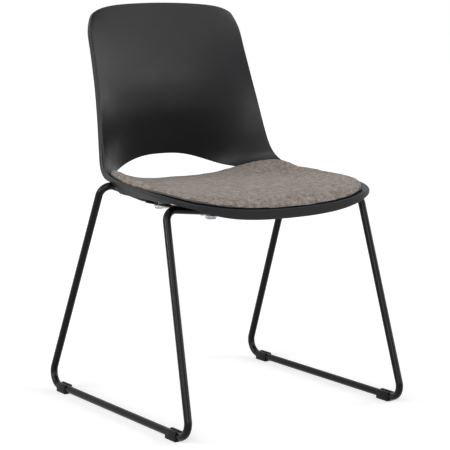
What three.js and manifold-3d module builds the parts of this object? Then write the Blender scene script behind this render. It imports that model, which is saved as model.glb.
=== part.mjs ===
// Sled base visitor chair: a moulded shell with a lumbar opening and an upholstered seat pad,
// carried by a bent rod frame with two runners.
// Millimetres, +Z up, the sitter faces -Y, origin on the floor under the middle of the base.

import * as THREE from 'three';
import { mergeVertices } from 'three/addons/utils/BufferGeometryUtils.js';
import Module from 'manifold-3d';

const wasm = await Module();
wasm.setup();

// Driving dimensions of the frame
const rodDiameter = 15;
const footprintDepth = 530; // over the outer faces of the runners' bends
const runnerGauge = 514; // between the axes of the two runners
const seatRodHeight = 413; // axis of the level middle part of both cross rods
const frontRodY = -150;
const rearRodY = 83;
const frontLegRise = 10.5; // front leg's top corner above the level part
const rearLegRise = 40;
const legTopWidth = 467; // between the top corners of the left and right legs
const levelWidth = 272; // length of the cross rods' level middle part
const bottomBendRadius = 28; // all bend radii are at the rod's axis
const topBendRadius = 22;
const levelBendRadius = 40;

// Driving dimensions of the shell
const shellWidth = 467;
const shellDepth = 467; // front edge to the rearmost point of the back
const shellRise = 387; // front edge to the top of the back
const shellThickness = 4.5;
const shellFrontY = -236;
const frontEdgeDrop = 2; // middle of the front edge below the top of the level rods
const rimWall = 4; // thickness of the turned-down rim
const rimChamfer = 1.5;
const frontRimHeight = 20;
const cornerRimHeight = 8; // at the two front corners
const sideRimHeight = 9.5;
const waistRimHeight = 21; // where the seat's sides turn up into the back
const backRimHeight = 17;
const topRimHeight = 12;
const flankHeight = 13.5; // deepest place of the flanks beside the seat, below the rim

// Driving dimensions of the seat pad
const padSeatGap = 1.3;
const padHemThickness = 1;
const padHemWidth = 14;
const padBoardThickness = 3;
const padFoamEdge = 3; // foam thickness along the front and rear edges
const padFoamCrown = 9; // what the foam gains in the middle
const padSideGain = 5.5; // what the foam gains along its sides, beside the sitter's hips
const padCoverThickness = 1;

// Clearances
const seatGap = 0.3; // between faces that rest on each other
const padSideGap = 0.7; // round the pad's board and foam, inside the cover
const boreClearance = 0.3; // round a pin or shank in its bore
const cutOverrun = 2; // how far a cutting tool passes a face

// Mounting bars, welded under the cross rods
const barWidth = 20;
const barThickness = 2;
const barOverhang = 8; // past the axis of each cross rod
const barSpacing = 244; // between the middle lines of the two bars

// Fasteners that hold the shell to the bars
const shellScrewDiameter = 6;
const shellScrewHeadDiameter = 10.5;
const shellScrewHeadHeight = 3.3;
const shellScrewSocketWidth = 4;
const shellScrewSocketDepth = 2;
const washerDiameter = 14;
const washerThickness = 1.2;
const insertDiameter = 9;
const insertLength = 11;
const bossDiameter = 18;
const frontScrewInset = 43; // behind the front cross rod's axis
const rearScrewInset = 60; // ahead of the rear cross rod's axis

// Fasteners that hold the pad to the shell
const padScrewDiameter = 4;
const padScrewHeadDiameter = 9;
const padScrewHeadHeight = 2.4;
const padScrewRecessDiameter = 3.2;
const padScrewRecessDepth = 1.4;

// Stacking bumpers, pressed into the bars from below
const bumperDiameter = 22;
const bumperHeight = 8;
const bumperEdge = 2.2;
const bumperStemDiameter = 5.4;
const bumperCatchDiameter = 7.4;
const bumperCatchHeight = 2.2;
const frontBumperInset = 14; // behind the front cross rod's axis
const rearBumperInset = 36; // ahead of the rear cross rod's axis

// Floor glides, snapped round the runners next to the bottom bends
const glideSole = 3; // sole thickness under the rod
const glideWidth = 18.5;
const glideCrown = 1.2; // how far the arms reach over the rod
const glideLength = 36;
const glideSlit = 6; // gap between the arms, through which the rod is pressed in
const glideBevel = 1.6;
const glidePegDiameter = 4.4;
const glidePegHeight = 3.2; // how far the peg reaches into the rod

// Weld bead round the joint in the middle of each cross rod
const beadHeight = 1;
const beadWidth = 5;

// Counts and steps
const rodSides = 12;
const arcStep = THREE.MathUtils.degToRad(10);
const turnedSides = 16;
const socketSides = 6;
const sideColumns = 7; // shell columns beside the opening, on each side
const middleColumns = 18; // shell columns across the opening
const seatRows = 24;
const backRows = 17;
const padSpokes = 40;

// Derived sizes of the frame
const rodRadius = rodDiameter / 2;
const runnerAxisZ = glideSole + rodRadius;
const barTopZ = seatRodHeight - rodRadius - seatGap;
const barBottomZ = barTopZ - barThickness;
const bendStartY = footprintDepth / 2 - rodRadius - bottomBendRadius;

// The shell's sheet is a net of lines across it, from the front edge (along 0) to the top of the
// back (along 1). Each row gives, as shares of the shell's depth, rise and half width: how far back
// and how high the middle of the line lies, then the same and the width for its end on the rim,
// and last the power of the curve between them.
const shellLineShares = [
  { along: 0, middle: [0, 0], rim: [0.9, 0.053, 0.048], bowl: 2.2 },
  { along: 0.05, middle: [0.047, 0.0155], rim: [0.968, 0.1155, 0.062], bowl: 2.4 },
  { along: 0.12, middle: [0.1455, 0.0245], rim: [0.9935, 0.195, 0.075], bowl: 2.8 },
  { along: 0.22, middle: [0.28, 0.026], rim: [1, 0.2955, 0.0825], bowl: 3.4 },
  { along: 0.34, middle: [0.441, 0.022], rim: [0.985, 0.4195, 0.0905], bowl: 5 },
  { along: 0.44, middle: [0.591, 0.0225], rim: [0.968, 0.516, 0.098], bowl: 6.2 },
  { along: 0.48, middle: [0.655, 0.0225], rim: [0.9615, 0.559, 0.1023], bowl: 5 },
  { along: 0.52, middle: [0.7195, 0.0225], rim: [0.954, 0.6015, 0.107], bowl: 3.2 },
  { along: 0.58, middle: [0.822, 0.021], rim: [0.942, 0.666, 0.119], bowl: 2.75 },
  { along: 0.635, middle: [0.9185, 0.021], rim: [0.927, 0.713, 0.1395], bowl: 2.7 },
  { along: 0.68, middle: [0.989, 0.054], rim: [0.9035, 0.745, 0.173], bowl: 2.8 },
  { along: 0.72, middle: [1, 0.137], rim: [0.8835, 0.7675, 0.222], bowl: 2.8 },
  { along: 0.77, middle: [0.974, 0.282], rim: [0.867, 0.792, 0.302], bowl: 2.7 },
  { along: 0.83, middle: [0.942, 0.437], rim: [0.8425, 0.8285, 0.447], bowl: 2.5 },
  { along: 0.89, middle: [0.9335, 0.597], rim: [0.819, 0.869, 0.597], bowl: 2.3 },
  { along: 0.94, middle: [0.951, 0.76], rim: [0.8035, 0.9165, 0.752], bowl: 2.2 },
  { along: 0.975, middle: [0.97, 0.889], rim: [0.794, 0.953, 0.8665], bowl: 2 },
  { along: 1, middle: [0.989, 1], rim: [0.744, 0.9785, 0.943], bowl: 2 },
];
const frontTurnShare = 0.1; // stretch in which the lines take up the front edge's outline
const topTurnShare = 0.07;
const edgeBowShare = 0.44; // part of the edge's set-back that is a plain bow
const cornerPower = 8;
const frontRimFadePower = 4; // how late the front rim's height fades out towards its corners
const openingWidthShare = 0.72;
const openingEndsShare = 0.6725;
const openingTopShare = 0.7325;
const openingBottomShare = 0.657;
const openingTopPower = 2.6;
const openingBottomPower = 2.4;

// Where along the rim its height changes, as shares of the way along
const rimHeights = [
  { along: 0, height: cornerRimHeight },
  { along: 0.1, height: sideRimHeight },
  { along: 0.575, height: sideRimHeight },
  { along: 0.67, height: waistRimHeight },
  { along: 0.75, height: waistRimHeight },
  { along: 0.81, height: backRimHeight },
  { along: 0.9, height: backRimHeight },
  { along: 1, height: topRimHeight },
];

// Where a flank hangs below the rim, in shares of its deepest place; it leans in under the seat by a
// share of its height
const flankShares = [
  { along: 0, share: 0 },
  { along: 0.09, share: 0 },
  { along: 0.15, share: 0.32 },
  { along: 0.3, share: 0.5 },
  { along: 0.4, share: 0.66 },
  { along: 0.5, share: 1 },
  { along: 0.54, share: 0.8 },
  { along: 0.575, share: 0 },
  { along: 1, share: 0 },
];
const flankLeanShare = 0.3;

// Reads a value off rows of { along, ... } with a smooth curve through them
function smoothAlong(rows, along, read) {
  const last = rows.length - 1;
  let i = 0;
  while (i < last - 1 && along > rows[i + 1].along) i += 1;
  const slope = (k) => {
    const before = rows[Math.max(k - 1, 0)];
    const after = rows[Math.min(k + 1, last)];
    return (read(after) - read(before)) / (after.along - before.along);
  };
  const span = rows[i + 1].along - rows[i].along;
  const t = THREE.MathUtils.clamp((along - rows[i].along) / span, 0, 1);
  const s = 1 - t;
  return s * s * (1 + 2 * t) * read(rows[i]) + s * s * t * span * slope(i)
    + t * t * (1 + 2 * s) * read(rows[i + 1]) - t * t * s * span * slope(i + 1);
}

// Reads a value off the same kind of rows with straight stretches between them
function straightAlong(rows, along, read) {
  let i = 0;
  while (i < rows.length - 2 && along > rows[i + 1].along) i += 1;
  const t = THREE.MathUtils.clamp((along - rows[i].along) / (rows[i + 1].along - rows[i].along), 0, 1);
  return THREE.MathUtils.lerp(read(rows[i]), read(rows[i + 1]), t);
}

// A point on the face of the shell that the sitter touches; across runs from -1 to 1
function shellPoint(across, along) {
  const line = (read) => smoothAlong(shellLineShares, along, read);
  const side = Math.abs(across);
  const bowl = side ** line((row) => row.bowl);
  const outline = edgeBowShare * side ** 2 + (1 - edgeBowShare) * side ** cornerPower;
  const nearFront = Math.max(1 - along / frontTurnShare, 0) ** 2;
  const nearTop = Math.max((along - 1 + topTurnShare) / topTurnShare, 0) ** 2;
  const back = THREE.MathUtils.lerp(bowl, outline, nearFront);
  const up = THREE.MathUtils.lerp(bowl, outline, nearTop);
  const depth = THREE.MathUtils.lerp(line((row) => row.middle[0]), line((row) => row.rim[1]), back);
  const rise = THREE.MathUtils.lerp(line((row) => row.middle[1]), line((row) => row.rim[2]), up);
  return new THREE.Vector3(
    across * line((row) => row.rim[0]) * shellWidth / 2,
    shellFrontY + depth * shellDepth,
    seatRodHeight + rodRadius - frontEdgeDrop + rise * shellRise,
  );
}

// The direction from the shell's face towards the sitter, read a little inside the rim
function shellNormal(across, along) {
  const step = 0.002;
  const inside = 0.97;
  const a = across * inside;
  const b = THREE.MathUtils.lerp(step * 2, 1 - step * 2, along);
  const sideways = shellPoint(a + step, b).sub(shellPoint(a - step, b));
  const lengthways = shellPoint(a, b + step).sub(shellPoint(a, b - step));
  return sideways.cross(lengthways).normalize();
}

// A point a given distance above the shell's face
function aboveShell(across, along, distance) {
  return shellPoint(across, along).addScaledVector(shellNormal(across, along), distance);
}

// How far the rim is turned down, with the front edge's full height fading out towards its corners
function rimHeight(across, along) {
  const nearFront = Math.max(1 - along / frontTurnShare, 0) * (1 - Math.abs(across) ** frontRimFadePower);
  return straightAlong(rimHeights, along, (row) => row.height)
    + (frontRimHeight - cornerRimHeight) * nearFront;
}

// A point on the seat's face straight above a place in plan
function seatPointOver(x, y) {
  let front = 0;
  let rear = openingBottomShare;
  let across = 0;
  const halvings = 30;
  for (let i = 0; i < halvings; i += 1) {
    const along = (front + rear) / 2;
    across = x / shellPoint(1, along).x;
    if (shellPoint(across, along).y < y) front = along;
    else rear = along;
  }
  return shellPoint(across, front);
}

// Gathers corner points and faces, and turns them into a closed geometry
class FaceBook {
  constructor() {
    this.points = [];
    this.faces = [];
  }

  add(point) {
    this.points.push(point.x, point.y, point.z);
    return this.points.length / 3 - 1;
  }

  quad(a, b, c, d) {
    this.faces.push(a, b, c, a, c, d);
  }

  geometry() {
    const made = new THREE.BufferGeometry();
    made.setAttribute('position', new THREE.Float32BufferAttribute(this.points, 3));
    made.setIndex(this.faces);
    return mergeVertices(made);
  }
}

function toSolid(geometry) {
  const bare = geometry.clone();
  bare.deleteAttribute('normal');
  bare.deleteAttribute('uv');
  const merged = mergeVertices(bare);
  return new wasm.Manifold(new wasm.Mesh({
    numProp: 3,
    vertProperties: new Float32Array(merged.attributes.position.array),
    triVerts: new Uint32Array(merged.index.array),
  }));
}

function toGeometry(solid) {
  const mesh = solid.getMesh();
  const made = new THREE.BufferGeometry();
  made.setAttribute('position', new THREE.BufferAttribute(new Float32Array(mesh.vertProperties), 3));
  made.setIndex(new THREE.BufferAttribute(new Uint32Array(mesh.triVerts), 1));
  return made;
}

// A round bar along Z between two heights, moved to a place in plan
function uprightBar(radius, bottom, top, x = 0, y = 0, sides = turnedSides) {
  const bar = new THREE.CylinderGeometry(radius, radius, top - bottom, sides);
  bar.rotateX(Math.PI / 2);
  bar.translate(x, y, (bottom + top) / 2);
  return bar;
}

// A turned solid round Z; the profile lists [radius, height] from the bottom upwards
function turned(profile, sides = turnedSides) {
  const made = new THREE.LatheGeometry(profile.map(([r, z]) => new THREE.Vector2(r, z)), sides);
  made.rotateX(Math.PI / 2);
  return made;
}

function extruded(outline, holes, length) {
  const shape = new THREE.Shape(outline.map(([x, y]) => new THREE.Vector2(x, y)));
  shape.holes = holes.map(({ x, y, radius }) => new THREE.Path().absarc(x, y, radius, 0, Math.PI * 2));
  return new THREE.ExtrudeGeometry(shape, {
    depth: length, bevelEnabled: false, curveSegments: turnedSides / 2,
  });
}

// Colours and surface of each material
const paintedRod = { color: 0x161617, roughness: 0.42, metalness: 0.35 };
const mouldedShell = { color: 0x232325, roughness: 0.62, metalness: 0 };
const padFabric = { color: 0x8c837c, roughness: 0.95, metalness: 0 };
const padFoam = { color: 0xd8cfa8, roughness: 0.95, metalness: 0 };
const padBoard = { color: 0x3a3a3c, roughness: 0.7, metalness: 0 };
const zincSteel = { color: 0xa7a9ad, roughness: 0.35, metalness: 0.9 };
const brass = { color: 0xb8923f, roughness: 0.35, metalness: 0.9 };
const clearPlastic = { color: 0xc9ced0, roughness: 0.25, metalness: 0 };
const glidePlastic = { color: 0x101011, roughness: 0.55, metalness: 0 };
const weldSteel = { color: 0x1c1c1d, roughness: 0.5, metalness: 0.35 };

const chair = new THREE.Group();

function place(name, geometry, finish, parent = chair) {
  const part = new THREE.Mesh(geometry, new THREE.MeshStandardMaterial(finish));
  part.name = name;
  parent.add(part);
  return part;
}

// The frame

// A line that a rod follows, given by the stops where its section is drawn
class RodLine extends THREE.Curve {
  constructor(stops) {
    super();
    this.stops = stops;
  }

  stopAt(share) {
    return this.stops[Math.round(share * (this.stops.length - 1))];
  }

  getPointAt(share, target = new THREE.Vector3()) {
    return target.copy(this.stopAt(share).point);
  }

  getTangentAt(share, target = new THREE.Vector3()) {
    return target.copy(this.stopAt(share).heading);
  }
}

// Stops along a line of corners, each corner but the ends rounded to its radius
function roundedStops(corners) {
  const stops = [];
  const headingTo = (i) => corners[i + 1].at.clone().sub(corners[i].at).normalize();
  stops.push({ point: corners[0].at, heading: headingTo(0) });
  for (let i = 1; i < corners.length - 1; i += 1) {
    const into = headingTo(i - 1);
    const out = headingTo(i);
    const turn = into.angleTo(out);
    const inward = out.clone().addScaledVector(into, -Math.cos(turn)).normalize();
    const radius = corners[i].radius;
    const start = corners[i].at.clone().addScaledVector(into, -radius * Math.tan(turn / 2));
    const steps = Math.max(2, Math.ceil(turn / arcStep));
    for (let k = 0; k <= steps; k += 1) {
      const angle = turn * k / steps;
      const point = start.clone()
        .addScaledVector(into, radius * Math.sin(angle))
        .addScaledVector(inward, radius * (1 - Math.cos(angle)));
      const heading = into.clone().multiplyScalar(Math.cos(angle))
        .addScaledVector(inward, Math.sin(angle));
      stops.push({ point, heading });
    }
  }
  const end = corners.length - 1;
  stops.push({ point: corners[end].at, heading: headingTo(end - 1) });
  return stops;
}

// How far out from the base's middle a raked leg's line meets the runner's axis: the line starts at
// the leg's top corner and touches the bottom bend's circle
function legFootReach(topReach, topZ) {
  const over = topZ - runnerAxisZ - bottomBendRadius;
  const out = bendStartY - topReach;
  const rake = Math.atan2(out, over) + Math.asin(bottomBendRadius / Math.hypot(out, over));
  return topReach + (topZ - runnerAxisZ) * Math.tan(rake);
}

const glideY = bendStartY - glideLength / 2;

// One side of the frame: half of the front cross rod, the front leg, the runner, the rear leg and
// half of the rear cross rod, bent from one rod
function sideRod(side) {
  const levelEnd = side * levelWidth / 2;
  const legTop = side * legTopWidth / 2;
  const runnerX = side * runnerGauge / 2;
  const frontTopZ = seatRodHeight + frontLegRise;
  const rearTopZ = seatRodHeight + rearLegRise;
  const corner = (x, y, z, radius) => ({ at: new THREE.Vector3(x, y, z), radius });
  const stops = roundedStops([
    corner(side * seatGap / 2, frontRodY, seatRodHeight),
    corner(levelEnd, frontRodY, seatRodHeight, levelBendRadius),
    corner(legTop, frontRodY, frontTopZ, topBendRadius),
    corner(runnerX, -legFootReach(-frontRodY, frontTopZ), runnerAxisZ, bottomBendRadius),
    corner(runnerX, legFootReach(rearRodY, rearTopZ), runnerAxisZ, bottomBendRadius),
    corner(legTop, rearRodY, rearTopZ, topBendRadius),
    corner(levelEnd, rearRodY, seatRodHeight, levelBendRadius),
    corner(side * seatGap / 2, rearRodY, seatRodHeight),
  ]);
  const section = [];
  for (let i = 0; i < rodSides; i += 1) {
    const angle = (i / rodSides) * Math.PI * 2;
    section.push(new THREE.Vector2(rodRadius * Math.cos(angle), rodRadius * Math.sin(angle)));
  }
  const bar = new THREE.ExtrudeGeometry(new THREE.Shape(section), {
    steps: stops.length - 1, extrudePath: new RodLine(stops),
  });
  let solid = toSolid(bar);
  const pegBore = glidePegDiameter / 2 + boreClearance;
  for (const y of [-glideY, glideY]) {
    const top = runnerAxisZ - rodRadius + glidePegHeight + boreClearance;
    solid = solid.subtract(toSolid(uprightBar(pegBore, 0, top, runnerX, y)));
  }
  return toGeometry(solid);
}

place('left_side_rod', sideRod(1), paintedRod);
place('right_side_rod', sideRod(-1), paintedRod);

// A bead round the two rod ends, with a round back
function weldBead() {
  const inner = rodRadius + seatGap;
  const profile = [[inner, -beadWidth / 2], [inner + beadHeight, -beadWidth / 4],
    [inner + beadHeight, beadWidth / 4], [inner, beadWidth / 2], [inner, -beadWidth / 2]];
  const bead = turned(profile);
  bead.rotateY(Math.PI / 2);
  return bead;
}

for (const [name, y] of [['front_butt_weld', frontRodY], ['rear_butt_weld', rearRodY]]) {
  place(name, weldBead(), weldSteel).position.set(0, y, seatRodHeight);
}

// Places along a bar, from the cross rods that carry it
const screwPlaces = [['front', frontRodY + frontScrewInset], ['rear', rearRodY - rearScrewInset]];
const bumperPlaces = [['front', frontRodY + frontBumperInset], ['rear', rearRodY - rearBumperInset]];
const sides = [['left', 1], ['right', -1]];

function mountingBar() {
  const half = barWidth / 2;
  const front = frontRodY - barOverhang;
  const rear = rearRodY + barOverhang;
  const corner = barOverhang / 2;
  const outline = [[-half + corner, front], [half - corner, front], [half, front + corner],
    [half, rear - corner], [half - corner, rear], [-half + corner, rear],
    [-half, rear - corner], [-half, front + corner]];
  const holes = [
    ...screwPlaces.map(([, y]) => ({ x: 0, y, radius: shellScrewDiameter / 2 + boreClearance })),
    ...bumperPlaces.map(([, y]) => ({ x: 0, y, radius: bumperStemDiameter / 2 + boreClearance })),
  ];
  return extruded(outline, holes, barThickness);
}

for (const [name, side] of sides) {
  place(`${name}_mounting_bar`, mountingBar(), paintedRod)
    .position.set(side * barSpacing / 2, 0, barBottomZ);
}

// A clear bumper: a round foot under the bar and a stem with a catch above it
function stackingBumper() {
  const stem = bumperStemDiameter / 2;
  const top = -seatGap;
  const overBar = barThickness + seatGap;
  return turned([
    [0, top - bumperHeight],
    [bumperDiameter / 2 - bumperEdge, top - bumperHeight],
    [bumperDiameter / 2, top - bumperHeight + bumperEdge],
    [bumperDiameter / 2, top],
    [stem, top],
    [stem, overBar],
    [bumperCatchDiameter / 2, overBar],
    [stem, overBar + bumperCatchHeight],
    [0, overBar + bumperCatchHeight],
  ]);
}

for (const [name, side] of sides) {
  for (const [end, y] of bumperPlaces) {
    place(`${end}_${name}_bumper`, stackingBumper(), clearPlastic)
      .position.set(side * barSpacing / 2, y, barBottomZ);
  }
}

// A floor glide: a sleeve round the runner with a flat sole, a slit along its top and a peg that
// enters the rod
function floorGlide() {
  const channel = rodRadius + boreClearance;
  const top = runnerAxisZ + rodRadius + glideCrown;
  const half = glideWidth / 2;
  const slit = glideSlit / 2;
  const slitAngle = Math.asin(slit / channel);
  const arcPoints = 12;
  const section = [[slit, top], [half - glideBevel, top], [half, top - glideBevel],
    [half, glideBevel], [half - glideBevel, 0], [-half + glideBevel, 0], [-half, glideBevel],
    [-half, top - glideBevel], [-half + glideBevel, top], [-slit, top]];
  for (let i = 0; i <= arcPoints; i += 1) {
    const angle = Math.PI / 2 + slitAngle + (i / arcPoints) * 2 * (Math.PI - slitAngle);
    section.push([channel * Math.cos(angle), runnerAxisZ + channel * Math.sin(angle)]);
  }
  const sleeve = extruded(section, [], glideLength);
  sleeve.rotateX(Math.PI / 2);
  sleeve.translate(0, glideLength / 2, 0);
  const end = glideLength / 2;
  const sideView = [[-end, glideBevel], [-end + glideBevel, 0], [end - glideBevel, 0],
    [end, glideBevel], [end, top - glideBevel], [end - glideBevel, top],
    [-end + glideBevel, top], [-end, top - glideBevel]];
  const profile = extruded(sideView, [], glideWidth + 2 * cutOverrun);
  profile.rotateY(Math.PI / 2);
  profile.rotateX(Math.PI / 2);
  profile.translate(-glideWidth / 2 - cutOverrun, 0, 0);
  const pegTop = runnerAxisZ - rodRadius + glidePegHeight;
  const peg = uprightBar(glidePegDiameter / 2, glideSole / 2, pegTop);
  return toGeometry(toSolid(sleeve).intersect(toSolid(profile)).add(toSolid(peg)));
}

for (const [name, side] of sides) {
  for (const [end, y] of [['front', -glideY], ['rear', glideY]]) {
    place(`${end}_${name}_glide`, floorGlide(), glidePlastic)
      .position.set(side * runnerGauge / 2, y, 0);
  }
}

// The shell

function openingEdge(across, edgeShare, power) {
  const side = Math.min(Math.abs(across) / openingWidthShare, 1);
  return THREE.MathUtils.lerp(edgeShare, openingEndsShare, side ** power);
}

// Columns of the shell's net: even across the opening, closing up towards the rim
function shellColumns() {
  const columns = [];
  const half = middleColumns / 2;
  for (let i = -half; i <= half; i += 1) columns.push(openingWidthShare * i / half);
  const evenShare = 0.6;
  for (let i = 1; i <= sideColumns; i += 1) {
    const t = i / sideColumns;
    const out = evenShare * t + (1 - evenShare) * Math.sin(t * Math.PI / 2);
    const across = THREE.MathUtils.lerp(openingWidthShare, 1, out);
    columns.push(across);
    columns.unshift(-across);
  }
  return columns;
}

// Rows of the net: from the front edge to the opening's lower edge, then from its upper edge to
// the top; both close up towards the shell's end
function shellRow(row, across) {
  const evenShare = 0.75;
  if (row <= seatRows) {
    const t = row / seatRows;
    const share = evenShare * t + (1 - evenShare) * (1 - Math.cos(t * Math.PI / 2));
    return openingEdge(across, openingBottomShare, openingBottomPower) * share;
  }
  const t = (row - seatRows - 1) / backRows;
  const share = evenShare * t + (1 - evenShare) * Math.sin(t * Math.PI / 2);
  return THREE.MathUtils.lerp(openingEdge(across, openingTopShare, openingTopPower), 1, share);
}

// The moulded sheet with its turned-down rim and its opening, as one closed skin
function shellSheet() {
  const book = new FaceBook();
  const columns = shellColumns();
  const lastColumn = columns.length - 1;
  const lastRow = seatRows + backRows + 1;
  const isRim = (i, j) => i === 0 || i === lastColumn || j === 0 || j === lastRow;

  // The rim as one loop of net places, counter-clockwise seen from the sitter
  const loop = [];
  for (let i = 0; i < lastColumn; i += 1) loop.push([i, 0]);
  for (let j = 0; j < lastRow; j += 1) if (j !== seatRows + 1) loop.push([lastColumn, j]);
  for (let i = lastColumn; i > 0; i -= 1) loop.push([i, lastRow]);
  for (let j = lastRow; j > 0; j -= 1) if (j !== seatRows) loop.push([0, j]);
  const at = ([i, j]) => ({ across: columns[i], along: shellRow(j, columns[i]) });
  const rim = new Map();
  loop.forEach((spot, k) => {
    const { across, along } = at(spot);
    const before = at(loop[(k + loop.length - 1) % loop.length]);
    const after = at(loop[(k + 1) % loop.length]);
    const edge = shellPoint(across, along);
    const heading = shellPoint(after.across, after.along).sub(shellPoint(before.across, before.along));
    const normal = shellNormal(across, along);
    const inward = normal.clone().cross(heading).normalize();
    const down = new THREE.Vector3(0, -normal.y, -normal.z).normalize();
    const flank = flankHeight * straightAlong(flankShares, along, (row) => row.share);
    const foot = edge.clone().addScaledVector(down, rimHeight(across, along) + flank)
      .addScaledVector(inward, flank * flankLeanShare);
    rim.set(spot.join(), {
      upper: edge.clone().addScaledVector(inward, rimChamfer),
      outer: edge.clone().addScaledVector(down, rimChamfer),
      foot,
      innerFoot: foot.clone().addScaledVector(inward, rimWall),
      under: edge.clone().addScaledVector(inward, rimWall).addScaledVector(normal, -shellThickness),
    });
  });

  const upper = [];
  const under = [];
  for (let i = 0; i <= lastColumn; i += 1) {
    upper.push([]);
    under.push([]);
    for (let j = 0; j <= lastRow; j += 1) {
      const { across, along } = at([i, j]);
      const key = j === seatRows + 1 ? [i, seatRows].join() : [i, j].join();
      const onRim = isRim(i, j) ? rim.get(key) : null;
      upper[i].push(book.add(onRim ? onRim.upper : shellPoint(across, along)));
      under[i].push(book.add(onRim ? onRim.under : aboveShell(across, along, -shellThickness)));
    }
  }
  for (let i = 0; i < lastColumn; i += 1) {
    for (let j = 0; j < lastRow; j += 1) {
      if (j === seatRows) continue;
      book.quad(upper[i][j], upper[i + 1][j], upper[i + 1][j + 1], upper[i][j + 1]);
      book.quad(under[i][j], under[i][j + 1], under[i + 1][j + 1], under[i + 1][j]);
    }
  }
  // The walls of the opening
  for (let i = sideColumns; i < lastColumn - sideColumns; i += 1) {
    const low = seatRows;
    const high = seatRows + 1;
    book.quad(upper[i][low], upper[i + 1][low], under[i + 1][low], under[i][low]);
    book.quad(upper[i + 1][high], upper[i][high], under[i][high], under[i + 1][high]);
  }
  // The turned-down rim
  const bands = loop.map(([i, j]) => {
    const { outer, foot, innerFoot } = rim.get([i, j].join());
    return [upper[i][j], book.add(outer), book.add(foot), book.add(innerFoot), under[i][j]];
  });
  bands.forEach((band, k) => {
    const next = bands[(k + 1) % bands.length];
    for (let b = 0; b < band.length - 1; b += 1) {
      book.quad(band[b], band[b + 1], next[b + 1], next[b]);
    }
  });
  return book.geometry();
}

// Where the pad's screws pass the shell, as shares across and along it
const padScrewShares = [
  ['front_left', 0.39, 0.225], ['front_right', -0.39, 0.225],
  ['rear_left', 0.31, 0.57], ['rear_right', -0.31, 0.57],
];

// Turns and moves a Z-axis tool so that it stands square on the shell's face
function standOnShell(object, across, along) {
  object.position.copy(shellPoint(across, along));
  object.quaternion.setFromUnitVectors(new THREE.Vector3(0, 0, 1), shellNormal(across, along));
  object.updateMatrix();
  return object;
}

const bossPlaces = sides.flatMap(([name, side]) => screwPlaces.map(([end, y]) => ({
  name: `${end}_${name}`, x: side * barSpacing / 2, y,
})));
const insertBottomZ = barTopZ + 2 * seatGap;
const screwTipZ = insertBottomZ + insertLength;

function shellSolid() {
  let solid = toSolid(shellSheet());
  for (const { x, y } of bossPlaces) {
    const bossTop = seatPointOver(x, y).z - shellThickness / 2;
    solid = solid.add(toSolid(uprightBar(bossDiameter / 2, barTopZ + seatGap, bossTop, x, y)));
    const bore = insertDiameter / 2 + boreClearance;
    const boreTop = screwTipZ + 2 * boreClearance;
    solid = solid.subtract(toSolid(uprightBar(bore, barTopZ - cutOverrun, boreTop, x, y)));
  }
  for (const [, across, along] of padScrewShares) {
    const reach = shellThickness + cutOverrun;
    const tool = uprightBar(padScrewDiameter / 2 + boreClearance, -reach, cutOverrun);
    tool.applyMatrix4(standOnShell(new THREE.Object3D(), across, along).matrix);
    solid = solid.subtract(toSolid(tool));
  }
  return toGeometry(solid);
}

place('shell', shellSolid(), mouldedShell);

// A ring pressed into each boss, which the screw bites in
function threadedInsert() {
  const outer = insertDiameter / 2;
  const inner = shellScrewDiameter / 2;
  const lead = insertLength / 10;
  return turned([[inner, 0], [outer - lead, 0], [outer, lead], [outer, insertLength - lead],
    [outer - lead, insertLength], [inner, insertLength], [inner, 0]]);
}

function shellWasher() {
  const inner = shellScrewDiameter / 2 + boreClearance;
  const outer = washerDiameter / 2;
  return turned([[inner, 0], [outer, 0], [outer, washerThickness], [inner, washerThickness],
    [inner, 0]]);
}

// A button-head screw with its head down; its origin is the face under the head
function shellScrew() {
  const shank = shellScrewDiameter / 2 - boreClearance;
  const head = shellScrewHeadDiameter / 2;
  const length = screwTipZ - barBottomZ + 2 * seatGap + washerThickness;
  const body = turned([
    [0, -shellScrewHeadHeight],
    [head / 2, -shellScrewHeadHeight],
    [head, -shellScrewHeadHeight / 3],
    [head, 0],
    [shank, 0],
    [shank, length - shank / 2],
    [shank / 2, length],
    [0, length],
  ]);
  const socket = uprightBar(shellScrewSocketWidth / Math.sqrt(3), -shellScrewHeadHeight - cutOverrun,
    -shellScrewHeadHeight + shellScrewSocketDepth, 0, 0, socketSides);
  return toGeometry(toSolid(body).subtract(toSolid(socket)));
}

for (const { name, x, y } of bossPlaces) {
  const washerZ = barBottomZ - seatGap - washerThickness;
  place(`${name}_insert`, threadedInsert(), brass).position.set(x, y, insertBottomZ);
  place(`${name}_washer`, shellWasher(), zincSteel).position.set(x, y, washerZ);
  place(`${name}_shell_screw`, shellScrew(), zincSteel).position.set(x, y, washerZ - seatGap);
}

// The seat pad: a board, foam on it, and a fabric cover drawn round its edge

const padFrontShare = 0.003;
const padRearShare = 0.649;
const padRearCornerShare = 0.038; // how much further back the pad reaches at its rear corners
const padWidthShare = 0.975;
const padCornerPower = 9;
const padSidePower = 6; // how close to its sides the pad gains height
const padThighShares = [0.2, 0.45]; // stretch of the seat in which that gain grows
const padRearFadeShares = [0.56, 0.66]; // stretch in which it fades out again
const padMiddleShare = (padFrontShare + padRearShare) / 2;

// The pad's outline, round a middle point, as shares across and along the shell
function padPlace(angle, reach) {
  const c = Math.cos(angle);
  const s = Math.sin(angle);
  const r = (Math.abs(c) ** padCornerPower + Math.abs(s) ** padCornerPower) ** (-1 / padCornerPower);
  const x = reach * r * c;
  const y = reach * r * s;
  const rear = padRearShare + padRearCornerShare * Math.abs(x) ** 4;
  const along = y < 0
    ? THREE.MathUtils.lerp(padMiddleShare, padFrontShare, -y)
    : THREE.MathUtils.lerp(padMiddleShare, rear, y);
  return { across: padWidthShare * x, along };
}

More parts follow.
